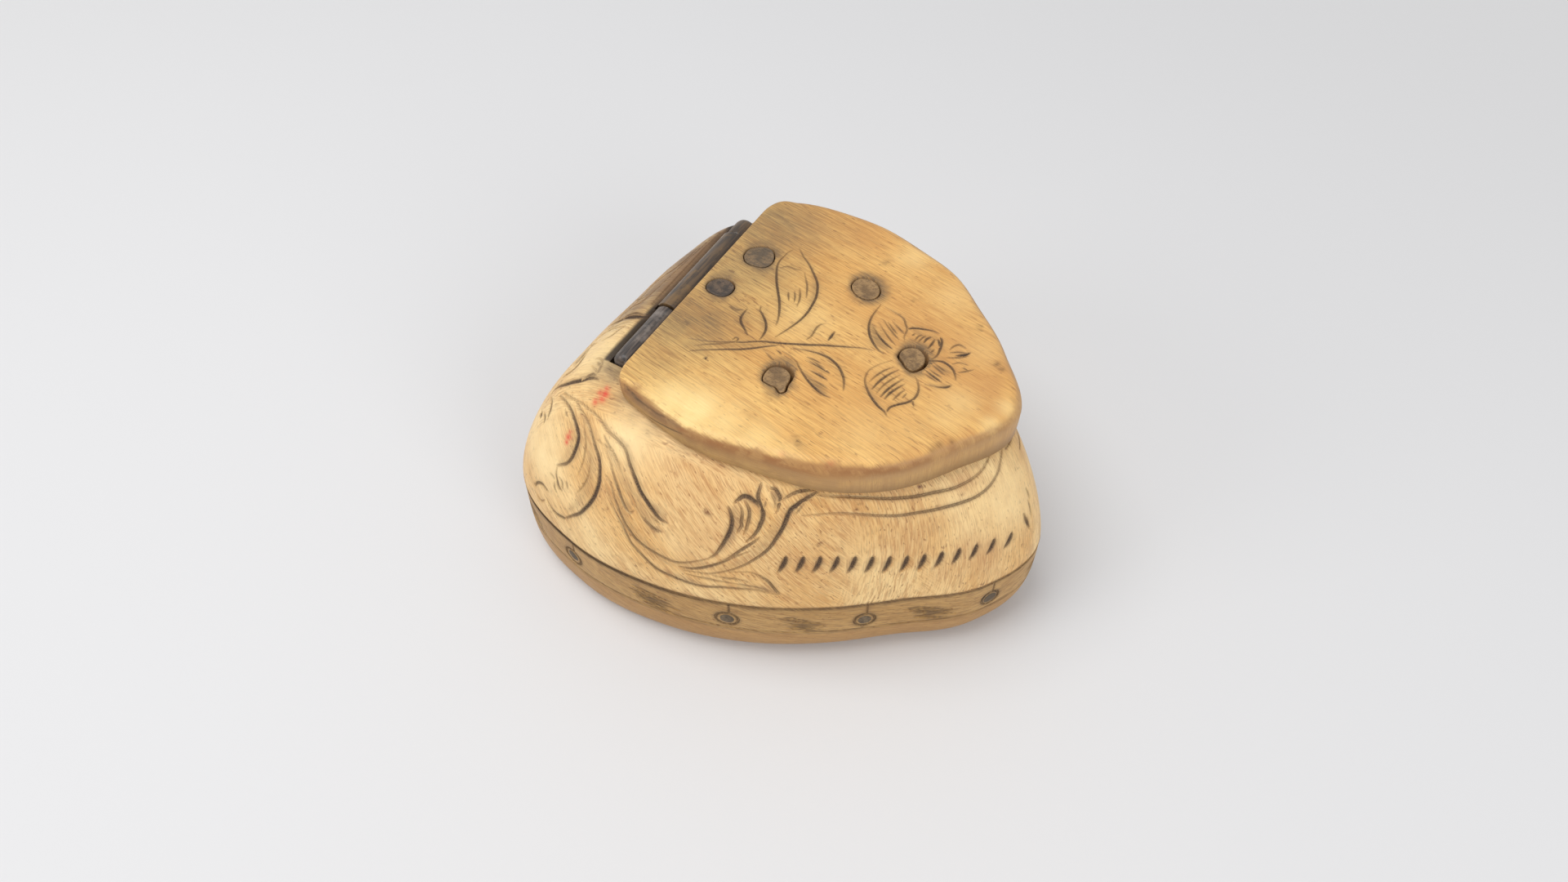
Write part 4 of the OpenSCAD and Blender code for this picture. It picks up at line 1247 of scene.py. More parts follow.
# ---- Lid ----
# A flat plate of bone, thin at the hinge and thick at the tip, with a rolled edge worn uneven by
# thumbs. Two of its five pegs fix it to the hinge's strap. A flower on a leafy stem is cut into
# its top.
LID_TOP = 38
LID_GAP = 0.2
LID_CELLS = 600
SIDE_TUCK = 0.12
UNDER_ROUND = (0.55, 0.7)
EDGE_AT_HINGE = 0.35
EDGE_MORE = 1.45
STRAP_T = 1
STRAP_LEN = 8.5
STRAP_Y = (-4.85, 13.15)
LID_DEPTH = 0.16
LID_TRIANGLES = 196000
LID_HOLE_FOOT = 30
HOLE_DIRT_AND_SHADE = (0.35, 1, None)
THIN, FIRM = 0.14, 0.2
LID_CUTS = {
    "side_crease": (THIN, 0.9, 0.4, [(764, 470), (775, 483), (790, 496), (806, 507), (826, 517)]),
    "side_crease_low": (THIN, 0.7, 0.6, [(784, 503), (800, 514), (818, 524), (836, 532)]),
    "big_leaf_left": (FIRM, 1, 0.6, [
        (971, 306), (965, 309), (960, 314), (955, 319), (952, 325), (951, 333), (951, 344),
        (952.5, 356), (954.3, 367.5), (954.4, 380), (953, 390), (950.5, 398),
    ]),
    "big_leaf_right": (FIRM, 1, 0.5, [
        (979, 304), (984, 314), (990.5, 323), (996, 334), (1000.5, 345), (1001, 355), (998.8, 365),
        (993, 376), (987.5, 384), (979, 392.5), (967.5, 401), (956, 408.5), (949.5, 412.5),
    ]),
    "big_leaf_fold": (THIN, 0.5, 0.5, [(955, 328), (965, 326), (973, 329), (982, 331)]),
    "big_leaf_rib": (THIN, 0.8, 0.6, [(985, 333), (987, 342), (988.5, 350), (988, 359), (987.5, 365)]),
    "big_leaf_tick_a": (THIN, 0.8, 0.4, [(965.5, 357), (965.5, 362), (966, 368)]),
    "big_leaf_tick_b": (THIN, 0.7, 0.5, [(973, 356), (973.5, 363), (972.5, 370)]),
    "big_leaf_tick_c": (THIN, 0.9, 0.5, [(979.4, 353), (979.8, 360), (979, 367), (976, 375)]),
    "bud_left": (FIRM, 0.9, 0.5, [
        (915, 378), (910, 384), (907, 389.5), (908, 396), (912.5, 404), (915.5, 410),
    ]),
    "bud_wing": (THIN, 0.6, 0.6, [(891, 371), (897.5, 376), (904, 379), (911, 379)]),
    "bud_wing_low": (THIN, 0.4, 0.5, [(893, 375), (899, 379), (905, 380.5)]),
    "bud_right": (FIRM, 1, 0.55, [
        (932, 374.5), (931, 380), (935, 387.5), (938, 396), (937.5, 404), (934, 411), (930, 416),
    ]),
    "side_sprig": (THIN, 1, 0.5, [
        (987.5, 415.8), (993.8, 411), (997.5, 405), (1000.5, 400.5), (1005, 397.3), (1011, 396),
    ]),
    "side_tick": (0.22, 0.9, 0.5, [(1014, 417), (1018, 411.5), (1022.5, 405.5)]),
    "stem_high": (FIRM, 1, 0.6, [
        (843, 414), (860, 416.5), (872.5, 418), (885, 418.5), (900, 418.4), (910, 418.8),
        (922, 418), (934, 417.8), (944, 418.8), (955, 420), (972, 421), (990, 422), (1005, 422.3),
        (1020, 423.3), (1040, 424.7), (1055, 426), (1070, 429),
    ]),
    "stem_low": (FIRM, 0.9, 0.6, [
        (845, 429.4), (860, 428.2), (873, 427.9), (889, 427.5), (905, 427.5), (917.5, 426.6),
        (927.5, 425.4), (937.5, 424), (948, 423), (957, 421.5),
    ]),
    "stem_mid": (THIN, 0.6, 0.6, [(850, 423), (866, 421.3), (882, 420.5), (897, 419.5)]),
    "stem_spur": (THIN, 0.9, 0.5, [(897, 416), (901, 413), (904, 415), (900, 419)]),
    "low_leaf_top": (FIRM, 1, 0.6, [
        (969, 426.7), (980, 427.5), (993, 430), (1005, 433.5), (1015, 438), (1023, 444.5),
        (1029, 452.5), (1032.8, 462), (1033.5, 470), (1032.8, 478),
    ]),
    "low_leaf_left": (FIRM, 1, 0.7, [
        (959, 430), (968, 436), (975, 442.5), (979, 450), (985, 460), (991.5, 468.3), (1000, 477),
        (1008, 483), (1017, 487),
    ]),
    "low_leaf_spine": (THIN, 0.9, 0.6, [(989.5, 463), (1001, 468), (1014, 476)]),
    "low_hatch_a": (THIN, 0.8, 0.5, [(987, 436.5), (996, 440), (1006, 445)]),
    "low_hatch_b": (FIRM, 0.9, 0.7, [(987, 441.5), (998, 446.5), (1008, 451.5), (1016, 457)]),
    "low_hatch_c": (FIRM, 0.9, 0.6, [(991, 453), (1001, 458), (1013, 465)]),
    "low_hatch_d": (THIN, 0.7, 0.6, [(996, 442), (1004, 448), (1011, 453)]),
    "stem_fork_a": (THIN, 0.9, 0.6, [(938, 431.5), (942, 436), (947.5, 440.5)]),
    "stem_fork_b": (THIN, 0.8, 0.6, [(949.5, 428), (954, 430.5), (957, 434)]),
    "dot": (FIRM, 1, 0.5, [(863.4, 438.8), (864.6, 438.8)]),
    "petal_one_left": (FIRM, 1, 0.6, [
        (1079, 372.5), (1073, 380), (1067, 389), (1064, 399), (1065, 410), (1069.5, 420),
        (1075.5, 428), (1082, 433),
    ]),
    "petal_one_right": (THIN, 0.9, 0.6, [
        (1085, 376), (1098, 384), (1106.5, 390), (1109, 396.5), (1110.8, 403.5), (1107.5, 411.5),
        (1107.8, 418),
    ]),
    "petal_one_a": (THIN, 0.9, 0.6, [(1076.5, 395), (1082, 404), (1089, 414), (1097, 423)]),
    "petal_one_b": (THIN, 0.9, 0.6, [(1081.5, 391), (1087, 399), (1094, 408), (1101, 416)]),
    "petal_one_c": (THIN, 0.9, 0.6, [(1088, 394), (1093, 402), (1099, 409)]),
    "petal_one_d": (THIN, 0.9, 0.6, [(1093, 393), (1100, 401), (1108, 409)]),
    "petal_one_e": (FIRM, 1, 0.6, [(1070, 400.5), (1076, 411), (1084, 420), (1093, 427.5)]),
    "petal_two_top": (FIRM, 1, 0.3, [
        (1111.5, 402.5), (1120, 401.7), (1131.7, 403), (1141.7, 405), (1150, 408),
    ]),
    "petal_two_side": (FIRM, 1, 0.3, [
        (1152, 412.5), (1153.5, 419), (1150.8, 428.5), (1146.7, 436), (1141, 439.5),
    ]),
    "petal_two_wedge": (FIRM, 1, 0.5, [(1148, 415), (1150, 418), (1151, 425)]),
    "petal_two_a": (THIN, 0.9, 0.5, [(1117, 411), (1121, 408)]),
    "petal_two_b": (THIN, 0.9, 0.5, [(1120, 417), (1124.5, 412), (1130, 409.5)]),
    "petal_two_c": (THIN, 0.9, 0.5, [(1124, 419.5), (1129, 414), (1135, 410.5)]),
    "petal_two_d": (FIRM, 0.9, 0.5, [(1131, 420), (1135, 415), (1141, 412)]),
    "petal_two_e": (FIRM, 0.9, 0.5, [(1136.5, 426.5), (1141.5, 420.5), (1145, 415)]),
    "petal_two_f": (THIN, 0.9, 0.5, [(1140, 432), (1144.5, 427)]),
    "petal_three_top": (FIRM, 1, 0.5, [
        (1137, 442), (1148, 441.7), (1157, 444), (1165, 450), (1169, 457), (1170.5, 465),
    ]),
    "petal_three_low": (FIRM, 1, 0.8, [
        (1133, 470.5), (1142, 472.5), (1150, 474), (1159, 474), (1165, 471.5),
    ]),
    "petal_three_a": (THIN, 0.9, 0.6, [(1139, 444), (1147, 451), (1157, 459)]),
    "petal_three_b": (THIN, 0.9, 0.6, [(1143, 443.5), (1150, 449), (1158, 455)]),
    "petal_three_c": (FIRM, 0.9, 0.6, [(1131.7, 452), (1142, 460), (1153, 468)]),
    "petal_three_d": (THIN, 0.9, 0.6, [(1129, 455.5), (1139, 462), (1148, 467.5)]),
    "petal_three_e": (THIN, 0.8, 0.6, [(1136, 450), (1145, 457), (1153, 462)]),
    "petal_four_left": (FIRM, 1, 0.8, [
        (1093, 441), (1082, 444), (1071.5, 448.5), (1064, 453.5), (1060, 461), (1059.3, 468),
        (1062.5, 478), (1068, 488), (1075.8, 497.5), (1082.5, 503.5), (1086, 509),
    ]),
    "petal_four_right": (FIRM, 1, 0.3, [
        (1086, 504), (1090, 498.5), (1100, 495), (1110, 492.8), (1118, 489), (1123, 483),
        (1125, 475), (1123.5, 467), (1120, 460),
    ]),
    "petal_four_tail": (THIN, 0.7, 0.4, [(1117.5, 490), (1118, 494), (1119, 498)]),
    "petal_four_a": (THIN, 0.9, 0.5, [(1095, 449), (1084, 453), (1072, 460.5), (1064, 468)]),
    "petal_four_b": (FIRM, 0.9, 0.6, [(1101, 452.5), (1089, 458), (1077, 466.5), (1067.5, 476.5)]),
    "petal_four_c": (THIN, 0.9, 0.5, [(1102, 459), (1091, 465), (1081, 472.5), (1073, 481.5)]),
    "petal_four_d": (FIRM, 0.9, 0.6, [(1106, 464), (1096, 470), (1086, 477.5), (1078, 486)]),
    "petal_four_e": (FIRM, 0.9, 0.6, [(1108, 470), (1099, 475), (1090, 481), (1083, 488.5)]),
    "petal_four_f": (THIN, 0.9, 0.5, [(1109, 476.5), (1102, 481.5), (1093, 490)]),
    "petal_four_g": (THIN, 0.6, 0.5, [(1110, 481.5), (1105, 487.5)]),
    "sprig_arc": (THIN, 1, 0.5, [(1163, 428.5), (1168, 424), (1175, 422.3), (1183, 426)]),
    "sprig_line": (THIN, 0.8, 0.5, [(1162.5, 431.7), (1174, 431.2), (1184, 432)]),
    "sprig_bar": (0.3, 1, 0.6, [(1171, 435.5), (1180, 435), (1188, 432)]),
    "sprig_low": (THIN, 0.9, 0.5, [(1157.5, 437.8), (1168, 438), (1177, 437.6), (1187, 435.5)]),
    "sprig_faint_a": (THIN, 0.5, 0.5, [(1165.5, 446), (1175, 444), (1185, 447)]),
    "sprig_faint_b": (THIN, 0.8, 0.5, [(1173, 456), (1181, 455), (1192.5, 452.5)]),
    "sprig_faint_c": (THIN, 0.6, 0.5, [(1178, 450), (1184, 453), (1186, 456)]),
}
# Smears beside the cuts and round the pegs, given like the shell's: dirt, and painted shade inside the
# petals, along the rolled edge's crease and round the pegs.
LID_SMEARS = {
    "side_crease_smear": (0.8, 0.7, 0.4, [(766, 474), (778, 488), (794, 501), (812, 513), (832, 523)]),
    "leaf_side_smear": (0.6, 0.45, 0.5, [(995, 338), (998, 350), (996, 363), (989, 378)]),
    "leaf_left_smear": (0.5, 0.3, 0.5, [(951, 318), (949, 330), (950, 345)]),
    "bud_smear": (0.6, 0.45, 0.5, [(934, 382), (935, 394), (935, 404)]),
    "bud_left_smear": (0.5, 0.4, 0.5, [(909, 383), (907, 391), (911, 403)]),
    "stem_smear": (0.5, 0.5, 0.6, [(860, 421), (885, 422), (910, 423), (935, 421), (955, 421)]),
    "sprig_smear": (0.6, 0.4, 0.5, [(990, 411), (996, 404), (1004, 399)]),
    "low_leaf_smear": (0.9, 0.7, 0.7, [(984, 455), (993, 465), (1002, 474), (1012, 482)]),
    "low_hatch_smear": (0.8, 0.45, 0.5, [(990, 440), (1000, 447), (1010, 455)]),
    "low_top_smear": (0.5, 0.4, 0.5, [(1010, 436), (1022, 445), (1030, 458)]),
    "petal_one_smear": (1.3, 0.75, 0.6, [(1068, 398), (1071, 409), (1078, 419), (1086, 427)]),
    "petal_two_smear": (0.8, 0.6, 0.5, [(1120, 404), (1131, 412), (1142, 414), (1150, 418)]),
    "petal_three_smear": (0.8, 0.55, 0.6, [(1140, 448), (1152, 452), (1165, 458)]),
    "petal_three_low_smear": (0.5, 0.6, 0.8, [(1138, 471), (1150, 473), (1163, 473)]),
    "petal_four_smear": (0.6, 0.45, 0.5, [(1060, 466), (1064, 480), (1073, 493), (1084, 505)]),
    "petal_hatch_smear": (0.9, 0.3, 0.5, [(1072, 478), (1082, 474), (1094, 466)]),
    "bar_smear": (0.5, 0.8, 0.6, [(1172, 435), (1180, 434.5), (1187, 432)]),
    "peg_four_smear": (1.25, 0.95, 0.5, [
        (931, 462), (936, 452), (947, 445), (960, 443), (971, 451), (970, 464), (962, 479),
        (950, 482), (939, 472), (931, 464),
    ]),
    "peg_five_smear": (1.25, 0.95, 0.5, [
        (1098, 437), (1106, 425), (1118, 420), (1131, 426), (1139, 439), (1133, 450), (1118, 457),
        (1108, 450), (1099, 440),
    ]),
    "peg_three_smear": (1.25, 0.95, 0.5, [
        (1041, 350), (1048, 339), (1062, 337), (1077, 346), (1081, 358), (1072, 368), (1056, 368),
        (1044, 359), (1041, 351),
    ]),
    "peg_two_smear": (1.25, 0.95, 0.5, [
        (911, 314), (920, 301), (936, 299), (949, 308), (948, 321), (935, 329), (920, 325),
        (911, 316),
    ]),
    "peg_one_smear": (1.25, 0.95, 0.5, [
        (863, 351), (872, 341), (885, 338), (898, 346), (897, 358), (885, 364), (871, 360),
        (864, 353),
    ]),
}
LID_BLOTS = {
    "soil": [
        (846, 390, 8, 0.78), (888, 385, 7, 0.5), (905, 322, 10, 0.66), (945, 275, 9, 0.78),
        (812, 428, 6, 0.5), (950, 335, 8, 0.32), (1010, 275, 6, 0.3),
    ],
    # Worn: pale patches that are partly wear and partly painted highlights, at the lid's front edge and
    # tip.
    "worn": [
        (850, 500, 4, 1), (822, 488, 3.4, 0.9), (880, 515, 4, 0.7), (920, 538, 3.5, 0.55),
        (960, 553, 2.5, 0.4), (985, 392, 4, 0.35), (1060, 535, 5, 0.3), (1110, 525, 4, 0.2),
        (1175, 492, 2.6, 0.6), (1160, 510, 2.4, 0.4), (1205, 430, 3, 0.35), (1120, 315, 3, 0.5),
        (1170, 365, 3, 0.45), (1215, 520, 1.6, 0.8), (1232, 500, 1.6, 0.8),
    ],
    "amber": [
        (1150, 420, 16, 0.55), (1205, 470, 4, 0.8), (1215, 500, 2.6, 0.6), (1230, 450, 2.6, 0.8),
        (1185, 445, 3, 0.5), (1120, 560, 2, 0.6), (1160, 550, 2, 0.8), (1185, 535, 1.8, 0.7),
        (1000, 470, 5, 0.3), (1060, 290, 6, 0.45), (1000, 280, 6, 0.4), (1130, 340, 4, 0.3),
        (1040, 400, 4, 0.3), (900, 470, 4, 0.25), (1130, 300, 4, 0.3), (1090, 545, 3, 0.3),
    ],
    "rouge": [(1018, 569, 0.5, 0.6), (1012, 572, 0.4, 0.5), (958, 556, 0.5, 0.3)],
    "pitch": [
        (864, 439, 0.22, 1.2), (976, 540, 0.35, 1), (980, 544, 0.3, 1), (973, 536, 0.25, 0.8),
        (985, 549, 0.22, 0.8), (993, 522, 0.2, 0.9), (1088, 320, 0.3, 0.9), (1092, 324, 0.25, 0.7),
        (1119, 368, 0.25, 0.8), (1201, 399, 0.3, 0.8), (1203, 405, 0.25, 0.7),
        (1221, 446, 0.5, 0.8), (1227, 452, 0.4, 0.8), (1150, 545, 0.6, 0.7), (1143, 551, 0.5, 0.7),
        (1166, 541, 0.5, 0.6),
    ],
}
LID_ROLL = (37.3 * MM, 37.85 * MM)
LID_FRINGE = (35.3 * MM, 36.9 * MM)
LID_FOOT_SHADE = (32.2 * MM, 35.2 * MM)


def lid_xy(turn, inset=0):
    return drawn_in(kept_in(lid_form_xy(turn), HINGE_BACK), inset)


def under_z(x):
    return rim_z(x) + LID_GAP


def edge_round(turn):
    """How far the lid's upper edge is rounded: crisp at the hinge, full and uneven where thumbs rub."""
    turn = np.asarray(turn, float)
    at_hinge = np.clip((lid_xy(turn)[..., 0] + HINGE_BACK) / 3, 0, 1)
    wander = 0.25 * np.sin(np.radians(turn * 5 + 40)) + 0.18 * np.sin(np.radians(turn * 11))
    return EDGE_AT_HINGE + at_hinge * (EDGE_MORE + wander)


half = LID_CELLS // 2
u, v = np.meshgrid(np.arange(-half, half + 1) / half, np.arange(-half, half + 1) / half, indexing="xy")
reach = np.maximum(np.abs(u), np.abs(v))
safe = np.where(reach == 0, 1, reach)
side = np.where(
    np.abs(u) >= np.abs(v),
    np.where(u >= 0, 45 * v / safe, 180 - 45 * v / safe),
    np.where(v >= 0, 90 - 45 * u / safe, 270 + 45 * u / safe),
)
top_xy = drawn_in(lid_xy(side), edge_round(side)) * reach[..., None]
dip = 0.05 * (1 - np.cos(top_xy[..., 0] / 6)) / 2 * (1 - np.cos(top_xy[..., 1] / 5 + 1)) / 2
top_z = LID_TOP - dip * np.clip((1 - reach) * 6, 0, 1)
lid_points = np.dstack([top_xy, top_z]).reshape(-1, 3)
count = LID_CELLS + 1
i, j = np.meshgrid(np.arange(LID_CELLS), np.arange(LID_CELLS), indexing="ij")
i, j = i.ravel(), j.ravel()
corner, across_corner = i * count + j, (i + 1) * count + j
lid_faces = np.stack([corner, corner + 1, across_corner + 1, across_corner], axis=1).tolist()

steps = np.arange(LID_CELLS)
border = np.concatenate(
    [
        steps * count + LID_CELLS,
        LID_CELLS * count + LID_CELLS - steps,
        (LID_CELLS - steps) * count,
        steps,
    ]
)
lid_turn = -45 + np.arange(4 * LID_CELLS) * 90 / LID_CELLS
lid_rings = []
for lean in np.radians(np.linspace(0, 90, 14)[1:]):
    soft = edge_round(lid_turn)
    xy = drawn_in(lid_xy(lid_turn), soft * (1 - np.sin(lean)))
    lid_rings.append(ring(xy, LID_TOP - soft * (1 - np.cos(lean))))
low_edge = under_z(lid_xy(lid_turn)[:, 0])
for share in np.linspace(0, 1, 22)[1:-1]:
    top_of_side = LID_TOP - edge_round(lid_turn)
    height = top_of_side + (low_edge + UNDER_ROUND[1] - top_of_side) * share
    lid_rings.append(ring(lid_xy(lid_turn, SIDE_TUCK * share**3), height))
for lean in np.radians(np.linspace(0, 90, 8)):
    xy = lid_xy(lid_turn, SIDE_TUCK + UNDER_ROUND[0] * (1 - np.cos(lean)))
    lid_rings.append(ring(xy, under_z(xy[:, 0]) + UNDER_ROUND[1] * (1 - np.sin(lean))))
side_points = np.concatenate(lid_rings).reshape(-1, 3)
side_count = len(lid_turn)
offset = len(lid_points)
side_index = offset + np.arange(len(lid_rings) * side_count).reshape(len(lid_rings), -1)
ring_index = np.vstack([border, side_index])
after_ring = np.roll(ring_index, -1, axis=1)
side_corners = (ring_index[:-1], ring_index[1:], after_ring[1:], after_ring[:-1])
lid_faces += np.stack([corners.ravel() for corners in side_corners], axis=1).tolist()
lid_faces.append(ring_index[-1][::-1].tolist())
lid = new_piece("engraved_lid", np.vstack([lid_points, side_points]), lid_faces)


LID_LEAN = math.atan(LID_SLOPE)


def sloped(x, y, z):
    """A place given in the sloping frame of the lid's underside, measured from the hinge edge."""
    out_x = -HINGE_BACK + x * math.cos(LID_LEAN) + z * math.sin(LID_LEAN)
    out_z = RIM_BACK_Z + LID_GAP - x * math.sin(LID_LEAN) + z * math.cos(LID_LEAN)
    return out_x, y, out_z


def tilted_block(name, x_span, y_span, z_span):
    """A block in the sloping frame of the lid's underside."""
    points = [sloped(x, y, z) for x in x_span for y in y_span for z in z_span]
    faces = [(0, 1, 3, 2), (4, 6, 7, 5), (0, 4, 5, 1), (2, 3, 7, 6), (0, 2, 6, 4), (1, 5, 7, 3)]
    return new_piece(name, points, faces)


recess_y = (STRAP_Y[0] - 0.15, STRAP_Y[1] + 0.15)
cut_away(lid, tilted_block("strap_recess", (-2, STRAP_LEN + 0.05), recess_y, (-1, STRAP_T + 0.05)))

# The outlines of the five pegs and of their holes, as they are seen on the lid's top.
PEG_OUTLINES = {
    "lid_peg_1": [
        (864.4, 351), (867, 346), (872.5, 342.5), (881, 340.4), (890, 342), (896, 345.6),
        (898.8, 350), (897.5, 355), (892.5, 360), (885, 362.5), (876, 360.6), (867.5, 356),
    ],
    "lid_peg_2": [
        (911, 314), (914, 307.5), (921, 303.5), (933.8, 302), (943.5, 304.5), (947.5, 309.5),
        (947.5, 317), (943, 323.5), (935, 326.5), (922.5, 324.5), (914, 320.5),
    ],
    "lid_peg_3": [
        (1043, 350), (1047, 343.5), (1055, 340.5), (1066, 342), (1074, 347.5), (1077.5, 356),
        (1074, 363), (1066, 366), (1056, 364.5), (1047, 358.5),
    ],
    "lid_peg_4": [
        (934, 461.5), (937.5, 455), (944, 449.5), (952, 448.5), (961, 451), (967, 457),
        (967.5, 463), (963, 471), (960.5, 478), (955, 479.5), (950, 473.5), (941.7, 470),
        (935, 466),
    ],
    "lid_peg_5": [
        (1101.5, 433), (1106.5, 427.5), (1116.7, 425.3), (1125, 427.5), (1131.5, 434), (1133, 440),
        (1130.5, 446), (1124, 451), (1117.5, 453), (1111.5, 450.5), (1106.5, 443.5),
        (1102.5, 437.5),
    ],
}
PEG_HOLES = {
    "lid_peg_1": [
        (863.4, 351), (866, 345.5), (872, 341.5), (881, 339), (891, 340.5), (898, 344.5),
        (900.5, 350), (899, 356), (893, 361.5), (885, 363.7), (875.5, 361.7), (866.5, 357),
    ],
    "lid_peg_2": [
        (909.8, 314), (913, 306.5), (920.5, 302.3), (933.8, 300.6), (944.5, 303), (949, 309),
        (949, 317.5), (944, 324.7), (935, 328), (922, 325.8), (913, 321.5),
    ],
    "lid_peg_3": [
        (1041.5, 350), (1046, 342), (1055, 338.8), (1066.5, 340), (1075.5, 346), (1079.3, 356),
        (1075.5, 364.3), (1066, 367.5), (1055, 366), (1045.5, 359.3),
    ],
    "lid_peg_4": [
        (932.5, 461.7), (935, 454.5), (942, 447.5), (950.5, 444), (960, 443.7), (968, 448),
        (973, 456.5), (971, 464.5), (966, 472), (962.5, 480), (954, 482), (948, 475), (940, 471.2),
        (933.3, 467),
    ],
    "lid_peg_5": [
        (1098, 436), (1102, 429), (1108.5, 424), (1118, 422), (1128, 424.5), (1135.8, 431.5),
        (1138, 439), (1135.5, 447), (1129.5, 452.7), (1118, 456.5), (1110, 453), (1103.5, 444.5),
    ],
}


def closed_curve(pixels, samples=72):
    """A smooth closed curve through pixels of the photograph."""
    p = np.array(pixels, float)
    n = len(p)
    t = np.arange(samples) * n / samples
    i = np.floor(t).astype(int)
    return smooth_between(*(p[(i + k) % n] for k in (-1, 0, 1, 2)), (t - i)[:, None])


def on_lid_top(pixels):
    """Pixels of the photograph as points on the lid's top, in the plan's millimetres, anticlockwise."""
    points = []
    for px, py in pixels:
        ray = sight(px, py)
        hit = camera.location + ray * ((LID_TOP * MM - camera.location.z) / ray.z)
        points.append((hit.x / MM - PLAN_SHIFT[0], hit.y / MM - PLAN_SHIFT[1]))
    points = np.array(points)
    x, y = points.T
    if np.sum(x * np.roll(y, -1) - y * np.roll(x, -1)) < 0:
        points = points[::-1]
    return points


def prism(name, outline, levels):
    """A solid with one outline, from pairs of height and inset, closed at both ends."""
    middle = outline.mean(axis=0)
    rings = [ring(middle + drawn_in(outline - middle, inset), height) for height, inset in levels]
    faces = wall_faces(len(levels), len(outline)) + end_faces(len(levels), len(outline))
    return new_piece(name, np.concatenate(rings).reshape(-1, 3), faces)


for peg_name, pixels in PEG_HOLES.items():
    cut_away(lid, prism("hole", on_lid_top(closed_curve(pixels)), ((LID_HOLE_FOOT, 0), (LID_TOP + 2, 0))))


def rolled_edge(wire, place, colour, cloud, fibre):
    """The rolled edge's side is darker brown, partly a stain from hands and partly painted shade: darker
    towards the hinge end and at its foot. A ragged rusty fringe runs along its upper line.
    """
    level = place.part("Z")
    forward = place.part("X")
    wander = (cloud - 0.5) * 1.2 * MM + (fibre - 0.5) * 0.6 * MM
    side = 1 - (level + wander).ramp(*LID_ROLL)
    fringe = side * (level - wander * 2).ramp(*LID_FRINGE)
    # Stain and painted shade on the side: darker brown towards the hinge end, lighter towards the tip.
    tint = forward.ramp(-8 * MM, 24 * MM).blend(srgb(150, 112, 70), srgb(184, 144, 96))
    colour = (side * (0.6 + cloud.ramp(0.3, 0.7) * 0.3)).blend(colour, tint)
    # Painted shade at the foot of the side, under the lid's edge.
    colour = (side * (1 - level.ramp(*LID_FOOT_SHADE)) * 0.6).blend(colour, srgb(112, 84, 54))
    # The rusty fringe thins towards the tip, partly by wear and partly as painted light.
    worn = forward.ramp(18 * MM, 30 * MM) * 0.5
    rust = fringe * (0.42 + cloud.ramp(0.38, 0.62) * 0.4 + (fibre - 0.5) * 0.3 - worn)
    return rust.clamped().blend(colour, srgb(146, 96, 56))


lid_bone = bone_material(
    "lid_bone",
    srgb(226, 172, 98),
    srgb(243, 197, 120),
    srgb(182, 126, 68),
    srgb(122, 98, 70),
    ((0.21, 0.98, 0.05), (0.1, 0.1, 0.99)),
    (
        ("worn", srgb(255, 224, 156)),
        ("amber", srgb(196, 142, 86)),
        ("soil", srgb(108, 92, 70)),
        ("rouge", srgb(200, 96, 66)),
        ("pitch", srgb(96, 70, 48)),
    ),
    rolled_edge,
    drawn=1.8,
)
lid_dirt_and_shade = marks_on(lid, LID_SMEARS.values())
# A dark ring round each peg hole: dirt, and painted shade of the gap round the peg.
for pixels in PEG_HOLES.values():
    rim = on_lid_top(closed_curve(pixels))
    rim = np.column_stack([rim + PLAN_SHIFT, np.full(len(rim), LID_TOP)])
    lid_dirt_and_shade.append((np.vstack([rim, rim[:1]]) * MM, *HOLE_DIRT_AND_SHADE))
lid_marks = marks_on(lid, LID_CUTS.values())
engrave(lid, lid_marks, lid_dirt_and_shade, LID_DEPTH, 0.0, lid_bone, LID_TRIANGLES)
for label, blots in LID_BLOTS.items():
    add_blots(lid, label, blots)
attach(lid, "lid")
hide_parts("lid_plate")


# ---- Lid pegs ----
# Five pegs of dark horn, whittled to no two outlines alike, driven through the lid from above.
# The first two hold the strap and the other three the liner. A dark line of dirt and painted shade rings
# each one.
lid_peg_finish = peg_material("lid_peg_horn", srgb(160, 128, 88), srgb(122, 96, 66), srgb(84, 66, 50))
grey_peg_finish = peg_material("lid_peg_grey_horn", srgb(132, 108, 80), srgb(96, 82, 66), srgb(66, 58, 50))
dark_peg_finish = peg_material("lid_peg_dark_horn", srgb(106, 88, 72), srgb(66, 58, 52), srgb(48, 44, 42))
PEG_FINISH = {
    "lid_peg_1": dark_peg_finish,
    "lid_peg_2": grey_peg_finish,
    "lid_peg_3": lid_peg_finish,
    "lid_peg_4": lid_peg_finish,
    "lid_peg_5": lid_peg_finish,
}
PEG_FEET = {"lid_peg_1": 0, "lid_peg_2": 0, "lid_peg_3": 1.8, "lid_peg_4": 1.8, "lid_peg_5": 1.8}
PEG_RIM = ((-0.5, 0), (-0.16, 0), (-0.06, 0.06), (-0.03, 0.16), (-0.05, 0.3), (-0.1, 0.42), (-0.12, 0.7))
for peg_name, pixels in PEG_OUTLINES.items():
    outline = on_lid_top(closed_curve(pixels))
    foot = under_z(outline[:, 0].min()) - PEG_FEET[peg_name]
    levels = ((foot, 0.1), *((LID_TOP + rise, inset) for rise, inset in PEG_RIM))
    peg = prism(peg_name + "_head", outline, levels)
    peg.data.materials.append(PEG_FINISH[peg_name])
    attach(peg, "lid")
    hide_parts(peg_name)


